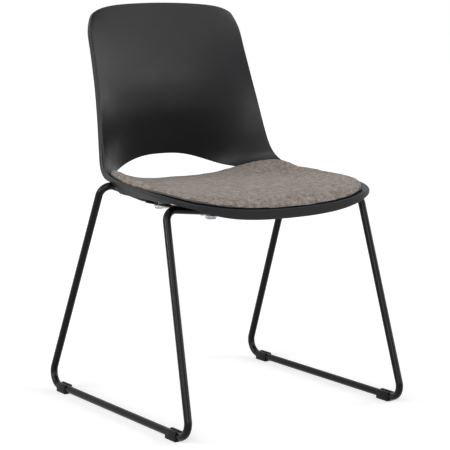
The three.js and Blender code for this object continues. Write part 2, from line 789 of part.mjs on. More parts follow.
// What the pad's upper face gains beside the sitter's hips; it fades out along the thighs and
// towards the pad's rear edge
function sideGain(across, along) {
  const side = Math.abs(across / padWidthShare);
  const pastThighs = THREE.MathUtils.smoothstep(along, ...padThighShares);
  const beforeRear = 1 - THREE.MathUtils.smoothstep(along, ...padRearFadeShares);
  return padSideGain * side ** padSidePower * pastThighs * beforeRear;
}

// A closed solid of rings round the pad's middle, each at a reach of 0 to 1 and a height above the
// shell; the first and the last ring are single points in the middle
function padSolid(rings) {
  const book = new FaceBook();
  const loops = rings.map(({ reach, height }) => {
    const ring = [];
    for (let k = 0; k < padSpokes; k += 1) {
      const { across, along } = padPlace((k / padSpokes) * Math.PI * 2, reach);
      const inFoam = THREE.MathUtils.clamp((height - foamBottom) / padFoamEdge, 0, 1);
      ring.push(book.add(aboveShell(across, along, height + inFoam * sideGain(across, along))));
    }
    return ring;
  });
  for (let r = 0; r < loops.length - 1; r += 1) {
    for (let k = 0; k < padSpokes; k += 1) {
      const n = (k + 1) % padSpokes;
      const [a, b, c, d] = [loops[r][k], loops[r][n], loops[r + 1][n], loops[r + 1][k]];
      const grows = rings[r + 1].reach - rings[r].reach || rings[r + 1].height - rings[r].height;
      if (rings[r].reach === 0) book.faces.push(a, c, d);
      else if (rings[r + 1].reach === 0) book.faces.push(a, b, d);
      else if (grows > 0) book.quad(a, b, c, d);
      else book.quad(b, c, d, a);
    }
  }
  return book.geometry();
}

const padHalfWidth = padWidthShare * shellWidth / 2;
const reachIn = (distance) => 1 - distance / padHalfWidth;
const innerReaches = [0.3, 0.55, 0.75, 0.87, reachIn(padHemWidth)];
const boardBottom = padSeatGap + padHemThickness + seatGap;
const boardTop = boardBottom + padBoardThickness;
const foamBottom = boardTop + seatGap;
const foamInset = padCoverThickness + padSideGap;
const coverRound = padFoamEdge / 2;

// Height of the foam's crowned face above the shell
function foamTop(reach) {
  return foamBottom + padFoamEdge + padFoamCrown * (1 - reach ** 2);
}

function boardRings() {
  const edge = reachIn(foamInset);
  return [
    { reach: 0, height: boardBottom },
    ...innerReaches.map((reach) => ({ reach, height: boardBottom })),
    { reach: edge, height: boardBottom },
    { reach: edge, height: boardTop },
    ...[...innerReaches].reverse().map((reach) => ({ reach, height: boardTop })),
    { reach: 0, height: boardTop },
  ];
}

function foamRings() {
  const edge = reachIn(foamInset);
  const shoulder = reachIn(foamInset + coverRound);
  return [
    { reach: 0, height: foamBottom },
    ...innerReaches.map((reach) => ({ reach, height: foamBottom })),
    { reach: edge, height: foamBottom },
    { reach: edge, height: foamTop(edge) - coverRound },
    { reach: shoulder, height: foamTop(shoulder) },
    ...[...innerReaches].reverse().map((reach) => ({ reach, height: foamTop(reach) })),
    { reach: 0, height: foamTop(0) },
  ];
}

function coverRings() {
  const skin = padCoverThickness + seatGap;
  const edge = reachIn(foamInset);
  const insideEdge = reachIn(padCoverThickness);
  const shoulder = reachIn(foamInset + coverRound);
  const hemEnd = innerReaches[innerReaches.length - 1];
  const hemTop = padSeatGap + padHemThickness;
  const inside = innerReaches.map((reach) => ({ reach, height: foamTop(reach) + seatGap }));
  const outside = innerReaches.map((reach) => ({ reach, height: foamTop(reach) + skin }));
  return [
    { reach: 0, height: foamTop(0) + seatGap },
    ...inside,
    { reach: shoulder, height: foamTop(shoulder) + seatGap },
    { reach: insideEdge, height: foamTop(edge) - coverRound + seatGap },
    { reach: insideEdge, height: hemTop },
    { reach: hemEnd, height: hemTop },
    { reach: hemEnd, height: padSeatGap },
    { reach: 1, height: padSeatGap },
    { reach: 1, height: foamTop(edge) - coverRound + skin },
    { reach: shoulder, height: foamTop(shoulder) + skin },
    ...[...outside].reverse(),
    { reach: 0, height: foamTop(0) + skin },
  ];
}

const padScrewTip = boardTop - seatGap;

function padBoardSolid() {
  let solid = toSolid(padSolid(boardRings()));
  for (const [, across, along] of padScrewShares) {
    const tool = uprightBar(padScrewDiameter / 2 + boreClearance, 0, boardTop + cutOverrun);
    tool.applyMatrix4(standOnShell(new THREE.Object3D(), across, along).matrix);
    solid = solid.subtract(toSolid(tool));
  }
  return toGeometry(solid);
}

place('pad_board', padBoardSolid(), padBoard);
place('pad_foam', padSolid(foamRings()), padFoam);
place('pad_cover', padSolid(coverRings()), padFabric);

// A pan-head screw under the shell; its origin is the shell's face, its head hangs below the shell
function padScrew() {
  const seat = -shellThickness - 2 * seatGap;
  const head = padScrewHeadDiameter / 2;
  const shank = padScrewDiameter / 2;
  const crown = seat - padScrewHeadHeight;
  const recess = padScrewRecessDiameter / 2;
  return turned([
    [0, crown + padScrewRecessDepth],
    [recess, crown],
    [head * 2 / 3, crown],
    [head, seat - padScrewHeadHeight / 2],
    [head, seat],
    [shank, seat],
    [shank, padScrewTip],
    [0, padScrewTip],
  ]);
}

for (const [name, across, along] of padScrewShares) {
  standOnShell(place(`${name}_pad_screw`, padScrew(), zincSteel), across, along);
}

export default chair;
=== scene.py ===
"""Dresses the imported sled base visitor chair: moulded shell, seat pad, rod frame and fittings.

Lengths are in metres, +Z is up, the sitter faces -Y, and the origin is on the floor under the
middle of the base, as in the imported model.
"""

import logging
import math
from dataclasses import dataclass
from enum import Enum
from typing import Callable, Iterable, Sequence

import bpy
import numpy as np
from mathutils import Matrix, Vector


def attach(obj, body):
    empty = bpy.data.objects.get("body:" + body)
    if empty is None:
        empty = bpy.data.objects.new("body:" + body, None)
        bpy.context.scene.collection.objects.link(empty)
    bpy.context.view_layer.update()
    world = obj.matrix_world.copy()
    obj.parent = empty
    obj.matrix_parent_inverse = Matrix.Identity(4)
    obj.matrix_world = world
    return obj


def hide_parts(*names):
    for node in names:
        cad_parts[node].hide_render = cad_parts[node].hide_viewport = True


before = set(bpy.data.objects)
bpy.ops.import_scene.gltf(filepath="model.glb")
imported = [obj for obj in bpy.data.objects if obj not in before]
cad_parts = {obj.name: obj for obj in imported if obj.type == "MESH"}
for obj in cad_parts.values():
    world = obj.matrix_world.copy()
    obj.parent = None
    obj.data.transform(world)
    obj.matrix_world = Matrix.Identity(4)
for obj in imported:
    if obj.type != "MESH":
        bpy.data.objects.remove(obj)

LOG = logging.getLogger("chair")
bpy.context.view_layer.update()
Triple = tuple[float, float, float]
Test = Callable[[Vector], bool]
QUARTER_TURN = (0.0, math.pi / 6, math.pi / 3, math.pi / 2)


def assign(target: object, **values: object) -> None:
    """Sets several values of a Blender object by their names."""
    for key, value in values.items():
        setattr(target, key, value)


class Slot(Enum):
    """Names of material slots, one for each finish of the new pieces."""

    ROD = "black_coated_rod"
    SHELL = "black_shell"
    FABRIC = "taupe_fabric"
    STEEL = "zinc_steel"
    BUMPER = "clear_bumper"
    GLIDE = "black_glide"


class Side(Enum):
    """The two sides of the chair, as the sign of their X."""

    LEFT = 1
    RIGHT = -1

    @property
    def word(self) -> str:
        """The side's word in piece names."""
        return self.name.lower()


class End(Enum):
    """The two ends of the chair, as the sign of their Y."""

    FRONT = -1
    REAR = 1

    @property
    def word(self) -> str:
        """The end's word in piece names."""
        return self.name.lower()


# Materials


class NodeTree:
    """Adds nodes to a node tree and links them."""

    def __init__(self, tree: bpy.types.NodeTree) -> None:
        """Starts on a tree."""
        self.nodes = tree.nodes
        self.links = tree.links

    def fill(self, slot: bpy.types.NodeSocket, value: object) -> None:
        """Links an input to another node's output, or gives it a plain value.

        Args:
            slot: the input.
            value: the output or the plain value.
        """
        if isinstance(value, bpy.types.NodeSocket):
            self.links.new(value, slot)
        else:
            slot.default_value = value

    def add(self, kind: str, *values: object, **named: object) -> bpy.types.Node:
        """Adds a node and fills its inputs.

        Args:
            kind: the node's type without ShaderNode.
            values: sockets or plain values for the first inputs, in their order.
            named: the same for inputs by their names, with _ for a space.

        Returns:
            The node.
        """
        node = self.nodes.new(f"ShaderNode{kind}")
        for slot, value in zip(node.inputs, values):
            self.fill(slot, value)
        for name, value in named.items():
            self.fill(node.inputs[name.replace("_", " ")], value)
        return node

    def math(self, operation: str, a: object, b: object = 0.0) -> bpy.types.NodeSocket:
        """Adds a Math node.

        Args:
            operation: the node's operation.
            a: a socket or a number.
            b: a socket or a number.

        Returns:
            The node's value.
        """
        node = self.add("Math", a, b)
        node.operation = operation
        return node.outputs[0]

    def span(self, source: bpy.types.NodeSocket, low: float, high: float,
             start: float = 0.3, stop: float = 0.7) -> bpy.types.NodeSocket:
        """Maps a value from a source range to a new one and keeps it inside.

        Args:
            source: the value.
            low: what start becomes.
            high: what stop becomes.
            start: lower end of the source range.
            stop: upper end of the source range.

        Returns:
            The mapped value.
        """
        node = self.add("MapRange", Value=source, From_Min=start, From_Max=stop, To_Min=low, To_Max=high)
        return node.outputs["Result"]


class NodeGraph(NodeTree):
    """Builds the shader nodes of one material."""

    def __init__(self, name: str) -> None:
        """Starts a material with a Principled shader on its output.

        Args:
            name: the material's name.
        """
        self.material = bpy.data.materials.new(name)
        self.material.use_nodes = True
        super().__init__(self.material.node_tree)
        self.nodes.clear()
        self.shader = self.add("BsdfPrincipled")
        self.add("OutputMaterial", Surface=self.shader.outputs["BSDF"])
        self.place = self.add("TexCoord").outputs["Object"]

    def set(self, **values: object) -> None:
        """Fills the shader's own inputs, named with _ for a space."""
        for name, value in values.items():
            self.fill(self.shader.inputs[name.replace("_", " ")], value)

    def noise(self, scale: float, detail: float = 2.0, stretch: Triple = (1, 1, 1),
              roughness: float = 0.5) -> bpy.types.NodeSocket:
        """Adds a noise pattern on Object coordinates.

        Args:
            scale: patches per metre.
            detail: how many finer octaves it has.
            stretch: factors on the three axes.
            roughness: weight of the finer octaves.

        Returns:
            The pattern's value, around 0.5.
        """
        mapping = self.add("Mapping", Scale=stretch, Vector=self.place)
        node = self.add("TexNoise", Scale=scale, Detail=detail, Roughness=roughness,
                        Vector=mapping.outputs["Vector"])
        return node.outputs["Fac"]

    def ramp(self, source: bpy.types.NodeSocket,
             stops: Sequence[tuple[float, Triple]]) -> bpy.types.NodeSocket:
        """Adds a colour ramp.

        Args:
            source: the value that picks the colour.
            stops: places from 0 to 1 and their linear colours.

        Returns:
            The ramp's colour.
        """
        node = self.add("ValToRGB", Fac=source)
        elements = node.color_ramp.elements
        while len(elements) < len(stops):
            elements.new(0.5)
        for element, (at, colour) in zip(elements, stops):
            element.position = at
            element.color = (*colour, 1.0)
        return node.outputs["Color"]

    def tint(self, pattern: bpy.types.NodeSocket, colour: Triple, *stops: tuple[float, float]) -> None:
        """Sets the base colour to shares of a colour; each stop is a place on the pattern and a share."""
        shades = [(at, tuple(share * c for c in colour)) for at, share in stops]
        self.set(Base_Color=self.ramp(pattern, shades))

    def bump(self, height: bpy.types.NodeSocket, distance: float, strength: float = 1.0) -> None:
        """Adds bumps to the shader's normal, over those that are there.

        Args:
            height: the pattern.
            distance: height of the pattern from 0 to 1, in metres.
            strength: share of it that is used.
        """
        node = self.add("Bump", Strength=strength, Distance=distance, Height=height)
        under = self.shader.inputs["Normal"]
        if under.is_linked:
            self.links.new(under.links[0].from_socket, node.inputs["Normal"])
        self.links.new(node.outputs["Normal"], under)


@dataclass(frozen=True)
class MouldedPlastic:
    """Black moulded plastic with a fine grain."""

    name: str
    colour: Triple
    roughness: float
    specular: float
    grain: float = 1100.0
    grain_height: float = 0.00006

    def build(self) -> bpy.types.Material:
        """Makes the material.

        Returns:
            The material.
        """
        graph = NodeGraph(self.name)
        graph.tint(graph.noise(9.0, 3.0), self.colour, (0.35, 0.86), (0.65, 1.16))
        fine = graph.noise(self.grain, 3.0, roughness=0.6)
        rub = graph.math("MULTIPLY", graph.noise(34.0, 2.0), 0.5)
        mixed = graph.math("ADD", rub, graph.math("MULTIPLY", fine, 0.5))
        graph.set(Roughness=graph.span(mixed, self.roughness - 0.05, self.roughness + 0.06),
                  Specular_IOR_Level=self.specular)
        graph.bump(fine, self.grain_height)
        graph.bump(graph.noise(self.grain * 0.3, 1.0), self.grain_height * 0.8, 0.5)
        return graph.material


@dataclass(frozen=True)
class PowderCoat:
    """Black satin powder coat on steel rod, with a faint orange peel."""

    name: str
    colour: Triple
    roughness: float
    specular: float = 0.15

    def build(self) -> bpy.types.Material:
        """Makes the material.

        Returns:
            The material.
        """
        graph = NodeGraph(self.name)
        speck = graph.noise(1500.0, 2.0)
        graph.tint(speck, self.colour, (0.35, 0.8), (0.7, 1.3))
        patches = graph.noise(40.0, 2.0)
        graph.set(Roughness=graph.span(patches, self.roughness - 0.05, self.roughness + 0.05),
                  Specular_IOR_Level=self.specular)
        graph.bump(graph.noise(420.0, 2.0), 0.00005)
        graph.bump(speck, 0.00002, 0.6)
        return graph.material


@dataclass(frozen=True)
class WovenWool:
    """Taupe melange upholstery with a fine weave and short fuzz."""

    name: str
    deep: Triple
    middle: Triple
    pale: Triple
    pitch: float = 0.0030

    def build(self) -> bpy.types.Material:
        """Makes the material.

        Returns:
            The material.
        """
        graph = NodeGraph(self.name)
        split = graph.add("SeparateXYZ", Vector=graph.place)
        wander = graph.math("MULTIPLY", graph.noise(240.0, 2.0), 0.9)
        turns = 2 * math.pi / self.pitch
        warp = graph.math("SINE", graph.math("ADD", graph.math("MULTIPLY", split.outputs["X"], turns),
                                             graph.math("MULTIPLY", wander, 3.0)))
        drop = graph.math("ADD", split.outputs["Y"], split.outputs["Z"])
        weft = graph.math("SINE", graph.math("ADD", graph.math("MULTIPLY", drop, turns * 0.94),
                                             graph.math("MULTIPLY", wander, 2.4)))
        weave = graph.span(graph.math("MULTIPLY", warp, weft), 0.0, 1.0, -1.0, 1.0)
        clouds = graph.noise(95.0, 2.0, roughness=0.6)
        flecks = graph.noise(520.0, 3.0, (1.0, 0.75, 1.0), 0.7)
        hairs = graph.noise(1900.0, 2.0)
        shade = graph.math("ADD", graph.math("MULTIPLY", clouds, 0.30),
                           graph.math("MULTIPLY", flecks, 0.58))
        shade = graph.math("ADD", shade, graph.math("MULTIPLY", weave, 0.12))
        tone = graph.ramp(shade, [(0.40, self.deep), (0.5, self.middle), (0.60, self.pale)])
        tint = graph.nodes.new("ShaderNodeMix")
        tint.data_type = "RGBA"
        tint.blend_type = "MULTIPLY"
        graph.fill(tint.inputs["Factor"], graph.span(graph.noise(150.0, 1.0), 0.0, 0.8))
        graph.fill(tint.inputs["A"], tone)
        graph.fill(tint.inputs["B"], (1.03, 0.99, 0.91, 1.0))
        graph.set(Base_Color=tint.outputs["Result"], Roughness=graph.span(hairs, 0.86, 0.98),
                  Specular_IOR_Level=0.2, Sheen_Weight=0.22, Sheen_Roughness=0.5,
                  Sheen_Tint=(0.8, 0.76, 0.72, 1.0))
        graph.bump(weave, 0.00045, 0.8)
        graph.bump(flecks, 0.00035, 0.7)
        graph.bump(hairs, 0.00012, 0.8)
        return graph.material


@dataclass(frozen=True)
class ClearRubber:
    """Clear soft plastic, a little milky."""

    name: str
    colour: Triple

    def build(self) -> bpy.types.Material:
        """Makes the material.

        Returns:
            The material.
        """
        graph = NodeGraph(self.name)
        haze = graph.noise(220.0, 2.0)
        graph.tint(haze, self.colour, (0.3, 1.0), (0.7, 1.1))
        graph.set(Roughness=graph.span(graph.noise(90.0), 0.16, 0.3), Transmission_Weight=0.55, IOR=1.46)
        graph.bump(haze, 0.00003)
        return graph.material


@dataclass(frozen=True)
class PlatedMetal:
    """Plated or bare turned metal with fine turning marks."""

    name: str
    colour: Triple
    roughness: float

    def build(self) -> bpy.types.Material:
        """Makes the material.

        Returns:
            The material.
        """
        graph = NodeGraph(self.name)
        graph.tint(graph.noise(300.0, 3.0), self.colour, (0.3, 0.75), (0.65, 1.0))
        marks = graph.noise(900.0, 2.0, (1.0, 1.0, 5.0))
        graph.set(Roughness=graph.span(marks, self.roughness - 0.08, self.roughness + 0.12), Metallic=1.0)
        graph.bump(marks, 0.00002)
        return graph.material


@dataclass(frozen=True)
class PressedBoard:
    """The pad's pressed plastic base, a dull grain with faint flow lines."""

    name: str
    colour: Triple

    def build(self) -> bpy.types.Material:
        """Makes the material.

        Returns:
            The material.
        """
        graph = NodeGraph(self.name)
        graph.tint(graph.noise(60.0, 4.0, (1.0, 0.2, 1.0)), self.colour, (0.35, 1.0), (0.7, 1.4))
        graph.set(Roughness=graph.span(graph.noise(800.0), 0.6, 0.8))
        graph.bump(graph.noise(1200.0, 3.0), 0.00008)
        return graph.material


class Finishes:
    """The chair's materials, made once each."""

    def __init__(self) -> None:
        """Makes every material."""
        self.shell = MouldedPlastic("black shell plastic", (0.0085, 0.0087, 0.0098), 0.38, 0.20).build()
        self.rod = PowderCoat("black powder coat", (0.0026, 0.0027, 0.0029), 0.22).build()
        self.fabric = WovenWool("taupe wool weave", (0.105, 0.088, 0.076), (0.217, 0.187, 0.165),
                                (0.385, 0.340, 0.308)).build()
        self.bumper = ClearRubber("clear bumper plastic", (0.72, 0.76, 0.78)).build()
        self.glide = MouldedPlastic("black glide plastic", (0.0048, 0.0048, 0.0052), 0.45, 0.12,
                                    1600.0).build()
        self.steel = PlatedMetal("zinc plated steel", (0.50, 0.51, 0.53), 0.3).build()
        self.brass = PlatedMetal("turned brass", (0.48, 0.29, 0.05), 0.32).build()
        self.board = PressedBoard("pressed pad base", (0.040, 0.040, 0.043)).build()


# Modelling helpers


class Bench:
    """Common steps of modelling a piece with Blender's own operators."""

    MERGE = 0.00001
    FINE_MERGE = 0.000001
    ALONG_X = (0.0, math.pi / 2, 0.0)
    ALONG_Y = (math.pi / 2, 0.0, 0.0)

    @staticmethod
    def clear() -> None:
        """Leaves edit mode and deselects every object."""
        if bpy.context.object and bpy.context.object.mode != "OBJECT":
            bpy.ops.object.mode_set(mode="OBJECT")
        bpy.ops.object.select_all(action="DESELECT")

    @staticmethod
    def pick(piece: bpy.types.Object) -> None:
        """Makes one object the only selected and the active one.

        Args:
            piece: the object.
        """
        Bench.clear()
        piece.select_set(True)
        bpy.context.view_layer.objects.active = piece

    @staticmethod
    def edit(piece: bpy.types.Object, kind: str, test: Test | None = None) -> None:
        """Opens a piece in edit mode with all its elements selected, or only some of its edges.

        Args:
            piece: the mesh object.
            kind: VERT or EDGE.
            test: says by its middle point whether an edge is selected; everything is if it is left out.
        """
        Bench.pick(piece)
        bpy.ops.object.mode_set(mode="EDIT")
        bpy.ops.mesh.select_mode(type=kind)
        bpy.ops.mesh.select_all(action="SELECT" if test is None else "DESELECT")
        if test is None:
            return
        bpy.ops.object.mode_set(mode="OBJECT")
        for edge in piece.data.edges:
            a, b = (piece.data.vertices[i].co for i in edge.vertices)
            edge.select = test((a + b) / 2)
        bpy.ops.object.mode_set(mode="EDIT")

    @staticmethod
    def start(add: Callable, name: str, scale: Triple = (1, 1, 1), **settings: object) -> bpy.types.Object:
        """Adds a primitive with its place, turn and scale in its mesh.

        Args:
            add: the operator that makes it.
            name: the name of the object and its mesh.
            scale: factors on the three axes.
            settings: what the operator is told.

        Returns:
            The piece.
        """
        Bench.clear()
        add(**settings)
        piece = bpy.context.object
        piece.name = name
        piece.data.name = name
        piece.scale = scale
        Bench.pick(piece)
        bpy.ops.object.transform_apply(location=True, rotation=True, scale=True)
        return piece

    @staticmethod
    def tidy(piece: bpy.types.Object, reach: float = MERGE) -> None:
        """Merges doubled points and turns the faces outwards.

        Args:
            piece: the mesh object.
            reach: how near two points have to be to merge.
        """
        Bench.edit(piece, "VERT")
        bpy.ops.mesh.remove_doubles(threshold=reach)
        bpy.ops.mesh.normals_make_consistent(inside=False)
        bpy.ops.object.mode_set(mode="OBJECT")

    @staticmethod
    def smooth(piece: bpy.types.Object, degrees: float = 35.0) -> None:
        """Shades a piece smooth but for its sharp edges."""
        Bench.pick(piece)
        bpy.ops.object.shade_smooth_by_angle(angle=math.radians(degrees))

    @staticmethod
    def box(name: str, middle: Triple, size: Triple) -> bpy.types.Object:
        """Adds a cube primitive at its size and place, with both in its mesh."""
        return Bench.start(bpy.ops.mesh.primitive_cube_add, name, size, size=1.0, location=middle)

    @staticmethod
    def bar(name: str, middle: Triple, radius: float, length: float, sides: int = 32,
            turn: Triple = (0, 0, 0)) -> bpy.types.Object:
        """Adds a cylinder primitive at its size and place, with both in its mesh."""
        return Bench.start(bpy.ops.mesh.primitive_cylinder_add, name, vertices=sides, radius=radius,
                           depth=length, location=middle, rotation=turn)

    @staticmethod
    def turned(name: str, profile: Sequence[tuple[float, float]], middle: Triple,
               steps: int = 48) -> bpy.types.Object:
        """Turns a profile round an upright axis.

        Args:
            name: the piece's name.
            profile: [radius, height] points; it starts and ends on the axis, or where it started.
            middle: the axis' place and the height that the profile counts from.
            steps: how many faces go round.

        Returns:
            The closed piece.
        """
        x, y, z = middle
        first_radius, first_height = profile[0]
        piece = Bench.start(bpy.ops.mesh.primitive_plane_add, name, size=0.001,
                            location=(x + first_radius, y, z + first_height))
        Bench.edit(piece, "VERT")
        bpy.ops.mesh.merge(type="CENTER")
        for (r, h), (next_r, next_h) in zip(profile, profile[1:]):
            bpy.ops.mesh.extrude_region_move(
                TRANSFORM_OT_translate={"value": (next_r - r, 0.0, next_h - h)})
        bpy.ops.mesh.select_all(action="SELECT")
        bpy.ops.mesh.spin(steps=steps, angle=2 * math.pi, center=(x, y, z), axis=(0, 0, 1))
        bpy.ops.object.mode_set(mode="OBJECT")
        Bench.tidy(piece)
        return piece

    @staticmethod
    def modify(piece: bpy.types.Object, kind: str, **settings: object) -> None:
        """Adds a modifier with these settings and applies it.

        Args:
            piece: the mesh object.
            kind: the modifier's type.
            settings: its values by their names.
        """
        Bench.pick(piece)
        modifier = piece.modifiers.new(kind.lower(), kind)
        assign(modifier, **settings)
        bpy.ops.object.modifier_apply(modifier=modifier.name)

    @staticmethod
    def cut(piece: bpy.types.Object, tool: bpy.types.Object, operation: str = "DIFFERENCE") -> None:
        """Takes a tool away from a piece, or unites the two, and deletes the tool."""
        Bench.modify(piece, "BOOLEAN", object=tool, operation=operation, solver="EXACT")
        bpy.data.objects.remove(tool, do_unlink=True)

    @staticmethod
    def join(pieces: Sequence[bpy.types.Object]) -> bpy.types.Object:
        """Joins pieces into the first one.

        Args:
            pieces: the pieces.

        Returns:
            The first piece.
        """
        Bench.clear()
        for piece in pieces:
            piece.select_set(True)
        bpy.context.view_layer.objects.active = pieces[0]
        bpy.ops.object.join()
        return pieces[0]

    @staticmethod
    def dress(piece: bpy.types.Object, material: bpy.types.Material, slot: Slot,
              *nodes: str) -> bpy.types.Object:
        """Gives a finished piece its material and body, and hides the CAD nodes that it stands for.

        Args:
            piece: the finished piece.
            material: its only material.
            slot: the slot for that finish; not used.
            nodes: the CAD nodes that it stands for.

        Returns:
            The piece.
        """
        piece.data.materials.clear()
        piece.data.materials.append(material)
        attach(piece, "root")
        if nodes:
            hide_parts(*nodes)
        LOG.info("%s: %d faces", piece.name, len(piece.data.polygons))
        return piece


class SkinBook:
    """Gathers points and faces of a skin that follows a formula, which no operator makes."""

    def __init__(self) -> None:
        """Starts empty."""
        self.points: list[Sequence[float]] = []
        self.faces: list[tuple[int, ...]] = []

    def add(self, point: Iterable[float]) -> int:
        """Adds a point and returns its number."""
        self.points.append(tuple(float(c) for c in point))
        return len(self.points) - 1

    def quad(self, a: int, b: int, c: int, d: int) -> None:
        """Adds a face of four points, or of three where two are the same.

        Args:
            a: number of the first point.
            b: number of the second.
            c: number of the third.
            d: number of the fourth.
        """
        corners = tuple(dict.fromkeys((a, b, c, d)))
        if len(corners) > 2:
            self.faces.append(corners)

    def piece(self, name: str) -> bpy.types.Object:
        """Makes the mesh object.

        Args:
            name: the object's name.

        Returns:
            The object.
        """
        Bench.clear()
        mesh = bpy.data.meshes.new(name)
        mesh.from_pydata(self.points, [], self.faces)
        mesh.update()
        piece = bpy.data.objects.new(name, mesh)
        bpy.context.scene.collection.objects.link(piece)
        return piece


# Shared sizes and places

ROD_RADIUS = 0.0075
SOLE = 0.003
RUNNER_Z = SOLE + ROD_RADIUS
RUNNER_X = 0.257
LEVEL_Z = 0.413
FRONT_ROD_Y = -0.150
REAR_ROD_Y = 0.083
BAR_X = 0.122
GAP = 0.0003
SHEET = 0.0045
INSERT_LENGTH = 0.011
BASE_DEPTH = 0.530
BOTTOM_BEND = 0.028
BAR_TOP = LEVEL_Z - ROD_RADIUS - GAP
BAR_THICKNESS = 0.002
BAR_BOTTOM = BAR_TOP - BAR_THICKNESS
SCREW_Y = {End.FRONT: FRONT_ROD_Y + 0.043, End.REAR: REAR_ROD_Y - 0.060}
BUMPER_Y = {End.FRONT: FRONT_ROD_Y + 0.014, End.REAR: REAR_ROD_Y - 0.036}
BEND_START_Y = BASE_DEPTH / 2 - ROD_RADIUS - BOTTOM_BEND


# The shell's surface


@dataclass(frozen=True)
class NetLine:
    """One line across the shell, in shares of its depth, rise and half width."""

    along: float
    middle: tuple[float, float]
    rim: Triple
    bowl: float


class ShellSurface:
    """The face of the shell that the sitter touches, by the CAD model's own rule."""

    WIDTH = 0.467
    DEPTH = 0.467
    RISE = 0.387
    FRONT_Y = -0.236
    FRONT_DROP = 0.002
    FRONT_Z = LEVEL_Z + ROD_RADIUS - FRONT_DROP
    FRONT_TURN = 0.1
    TOP_TURN = 0.07
    EDGE_BOW = 0.44
    CORNER_POWER = 8
    NORMAL_STEP = 0.002
    NORMAL_SHARE = 0.97
    SEAT_END = 0.657
    HALVINGS = 30
    LINES = (
        NetLine(0, (0, 0), (0.9, 0.053, 0.048), 2.2),
        NetLine(0.05, (0.047, 0.0155), (0.968, 0.1155, 0.062), 2.4),
        NetLine(0.12, (0.1455, 0.0245), (0.9935, 0.195, 0.075), 2.8),
        NetLine(0.22, (0.28, 0.026), (1, 0.2955, 0.0825), 3.4),
        NetLine(0.34, (0.441, 0.022), (0.985, 0.4195, 0.0905), 5),
        NetLine(0.44, (0.591, 0.0225), (0.968, 0.516, 0.098), 6.2),
        NetLine(0.48, (0.655, 0.0225), (0.9615, 0.559, 0.1023), 5),
        NetLine(0.52, (0.7195, 0.0225), (0.954, 0.6015, 0.107), 3.2),
        NetLine(0.58, (0.822, 0.021), (0.942, 0.666, 0.119), 2.75),
        NetLine(0.635, (0.9185, 0.021), (0.927, 0.713, 0.1395), 2.7),
        NetLine(0.68, (0.989, 0.054), (0.9035, 0.745, 0.173), 2.8),
        NetLine(0.72, (1, 0.137), (0.8835, 0.7675, 0.222), 2.8),
        NetLine(0.77, (0.974, 0.282), (0.867, 0.792, 0.302), 2.7),
        NetLine(0.83, (0.942, 0.437), (0.8425, 0.8285, 0.447), 2.5),
        NetLine(0.89, (0.9335, 0.597), (0.819, 0.869, 0.597), 2.3),
        NetLine(0.94, (0.951, 0.76), (0.8035, 0.9165, 0.752), 2.2),
        NetLine(0.975, (0.97, 0.889), (0.794, 0.953, 0.8665), 2),
        NetLine(1, (0.989, 1), (0.744, 0.9785, 0.943), 2),
    )
    RIM_HEIGHTS = ((0, 0.0085), (0.1, 0.01), (0.57, 0.01), (0.62, 0.0155), (0.66, 0.021), (0.7, 0.0215),
                   (0.74, 0.0205), (0.8, 0.0185), (0.9, 0.0185), (0.97, 0.015), (1, 0.012))
    FRONT_RIM_EXTRA = 0.0125
    FRONT_FADE_POWER = 4
    FLANK_HEIGHTS = ((0, 0), (0.08, 0), (0.1, 0.0018), (0.15, 0.0043), (0.2, 0.0056), (0.3, 0.007),
                     (0.4, 0.009), (0.5, 0.0135), (0.54, 0.011), (0.578, 0), (1, 0))

    def __init__(self) -> None:
        """Lays the lines' values out in columns."""
        self.along = np.array([line.along for line in self.LINES])
        self.values = np.array([(*line.middle, *line.rim, line.bowl) for line in self.LINES])

    def line(self, along: float) -> np.ndarray:
        """Reads the six values of the line at a place along the shell, with a smooth curve.

        Args:
            along: share of the way from the front edge to the top.

        Returns:
            The values, in the order of NetLine's fields.
        """
        last = len(self.along) - 1
        i = int(np.clip(np.searchsorted(self.along, along, side="right") - 1, 0, last - 1))

        def slope(k: int) -> np.ndarray:
            """The curve's slope at one line."""
            before, after = max(k - 1, 0), min(k + 1, last)
            return (self.values[after] - self.values[before]) / (self.along[after] - self.along[before])

        span = self.along[i + 1] - self.along[i]
        t = min(max((along - self.along[i]) / span, 0.0), 1.0)
        s = 1 - t
        return (s * s * (1 + 2 * t) * self.values[i] + s * s * t * span * slope(i)
                + t * t * (1 + 2 * s) * self.values[i + 1] - t * t * s * span * slope(i + 1))

    def point(self, across: float, along: float) -> np.ndarray:
        """Works out a point on the face.

        Args:
            across: share of the half width, from -1 to 1.
            along: share of the way from the front edge to the top.

        Returns:
            The point.
        """
        depth_mid, rise_mid, width, depth_rim, rise_rim, bowl = self.line(along)
        side = abs(across)
        bend = side ** bowl
        outline = self.EDGE_BOW * side ** 2 + (1 - self.EDGE_BOW) * side ** self.CORNER_POWER
        near_front = max(1 - along / self.FRONT_TURN, 0.0) ** 2
        near_top = max((along - 1 + self.TOP_TURN) / self.TOP_TURN, 0.0) ** 2
        back = bend + (outline - bend) * near_front
        up = bend + (outline - bend) * near_top
        return np.array([
            across * width * self.WIDTH / 2,
            self.FRONT_Y + (depth_mid + (depth_rim - depth_mid) * back) * self.DEPTH,
            self.FRONT_Z + (rise_mid + (rise_rim - rise_mid) * up) * self.RISE,
        ])

    def normal(self, across: float, along: float) -> np.ndarray:
        """The direction towards the sitter, read a little inside the rim.

        Args:
            across: share of the half width, from -1 to 1.
            along: share of the way from the front edge to the top.

        Returns:
            The unit vector.
        """
        step = self.NORMAL_STEP
        a = across * self.NORMAL_SHARE
        b = 2 * step + (1 - 4 * step) * along
        sideways = self.point(a + step, b) - self.point(a - step, b)
        lengthways = self.point(a, b + step) - self.point(a, b - step)
        normal = np.cross(sideways, lengthways)
        return normal / np.linalg.norm(normal)

    def above(self, across: float, along: float, distance: float) -> np.ndarray:
        """A point a distance above the face."""
        return self.point(across, along) + self.normal(across, along) * distance

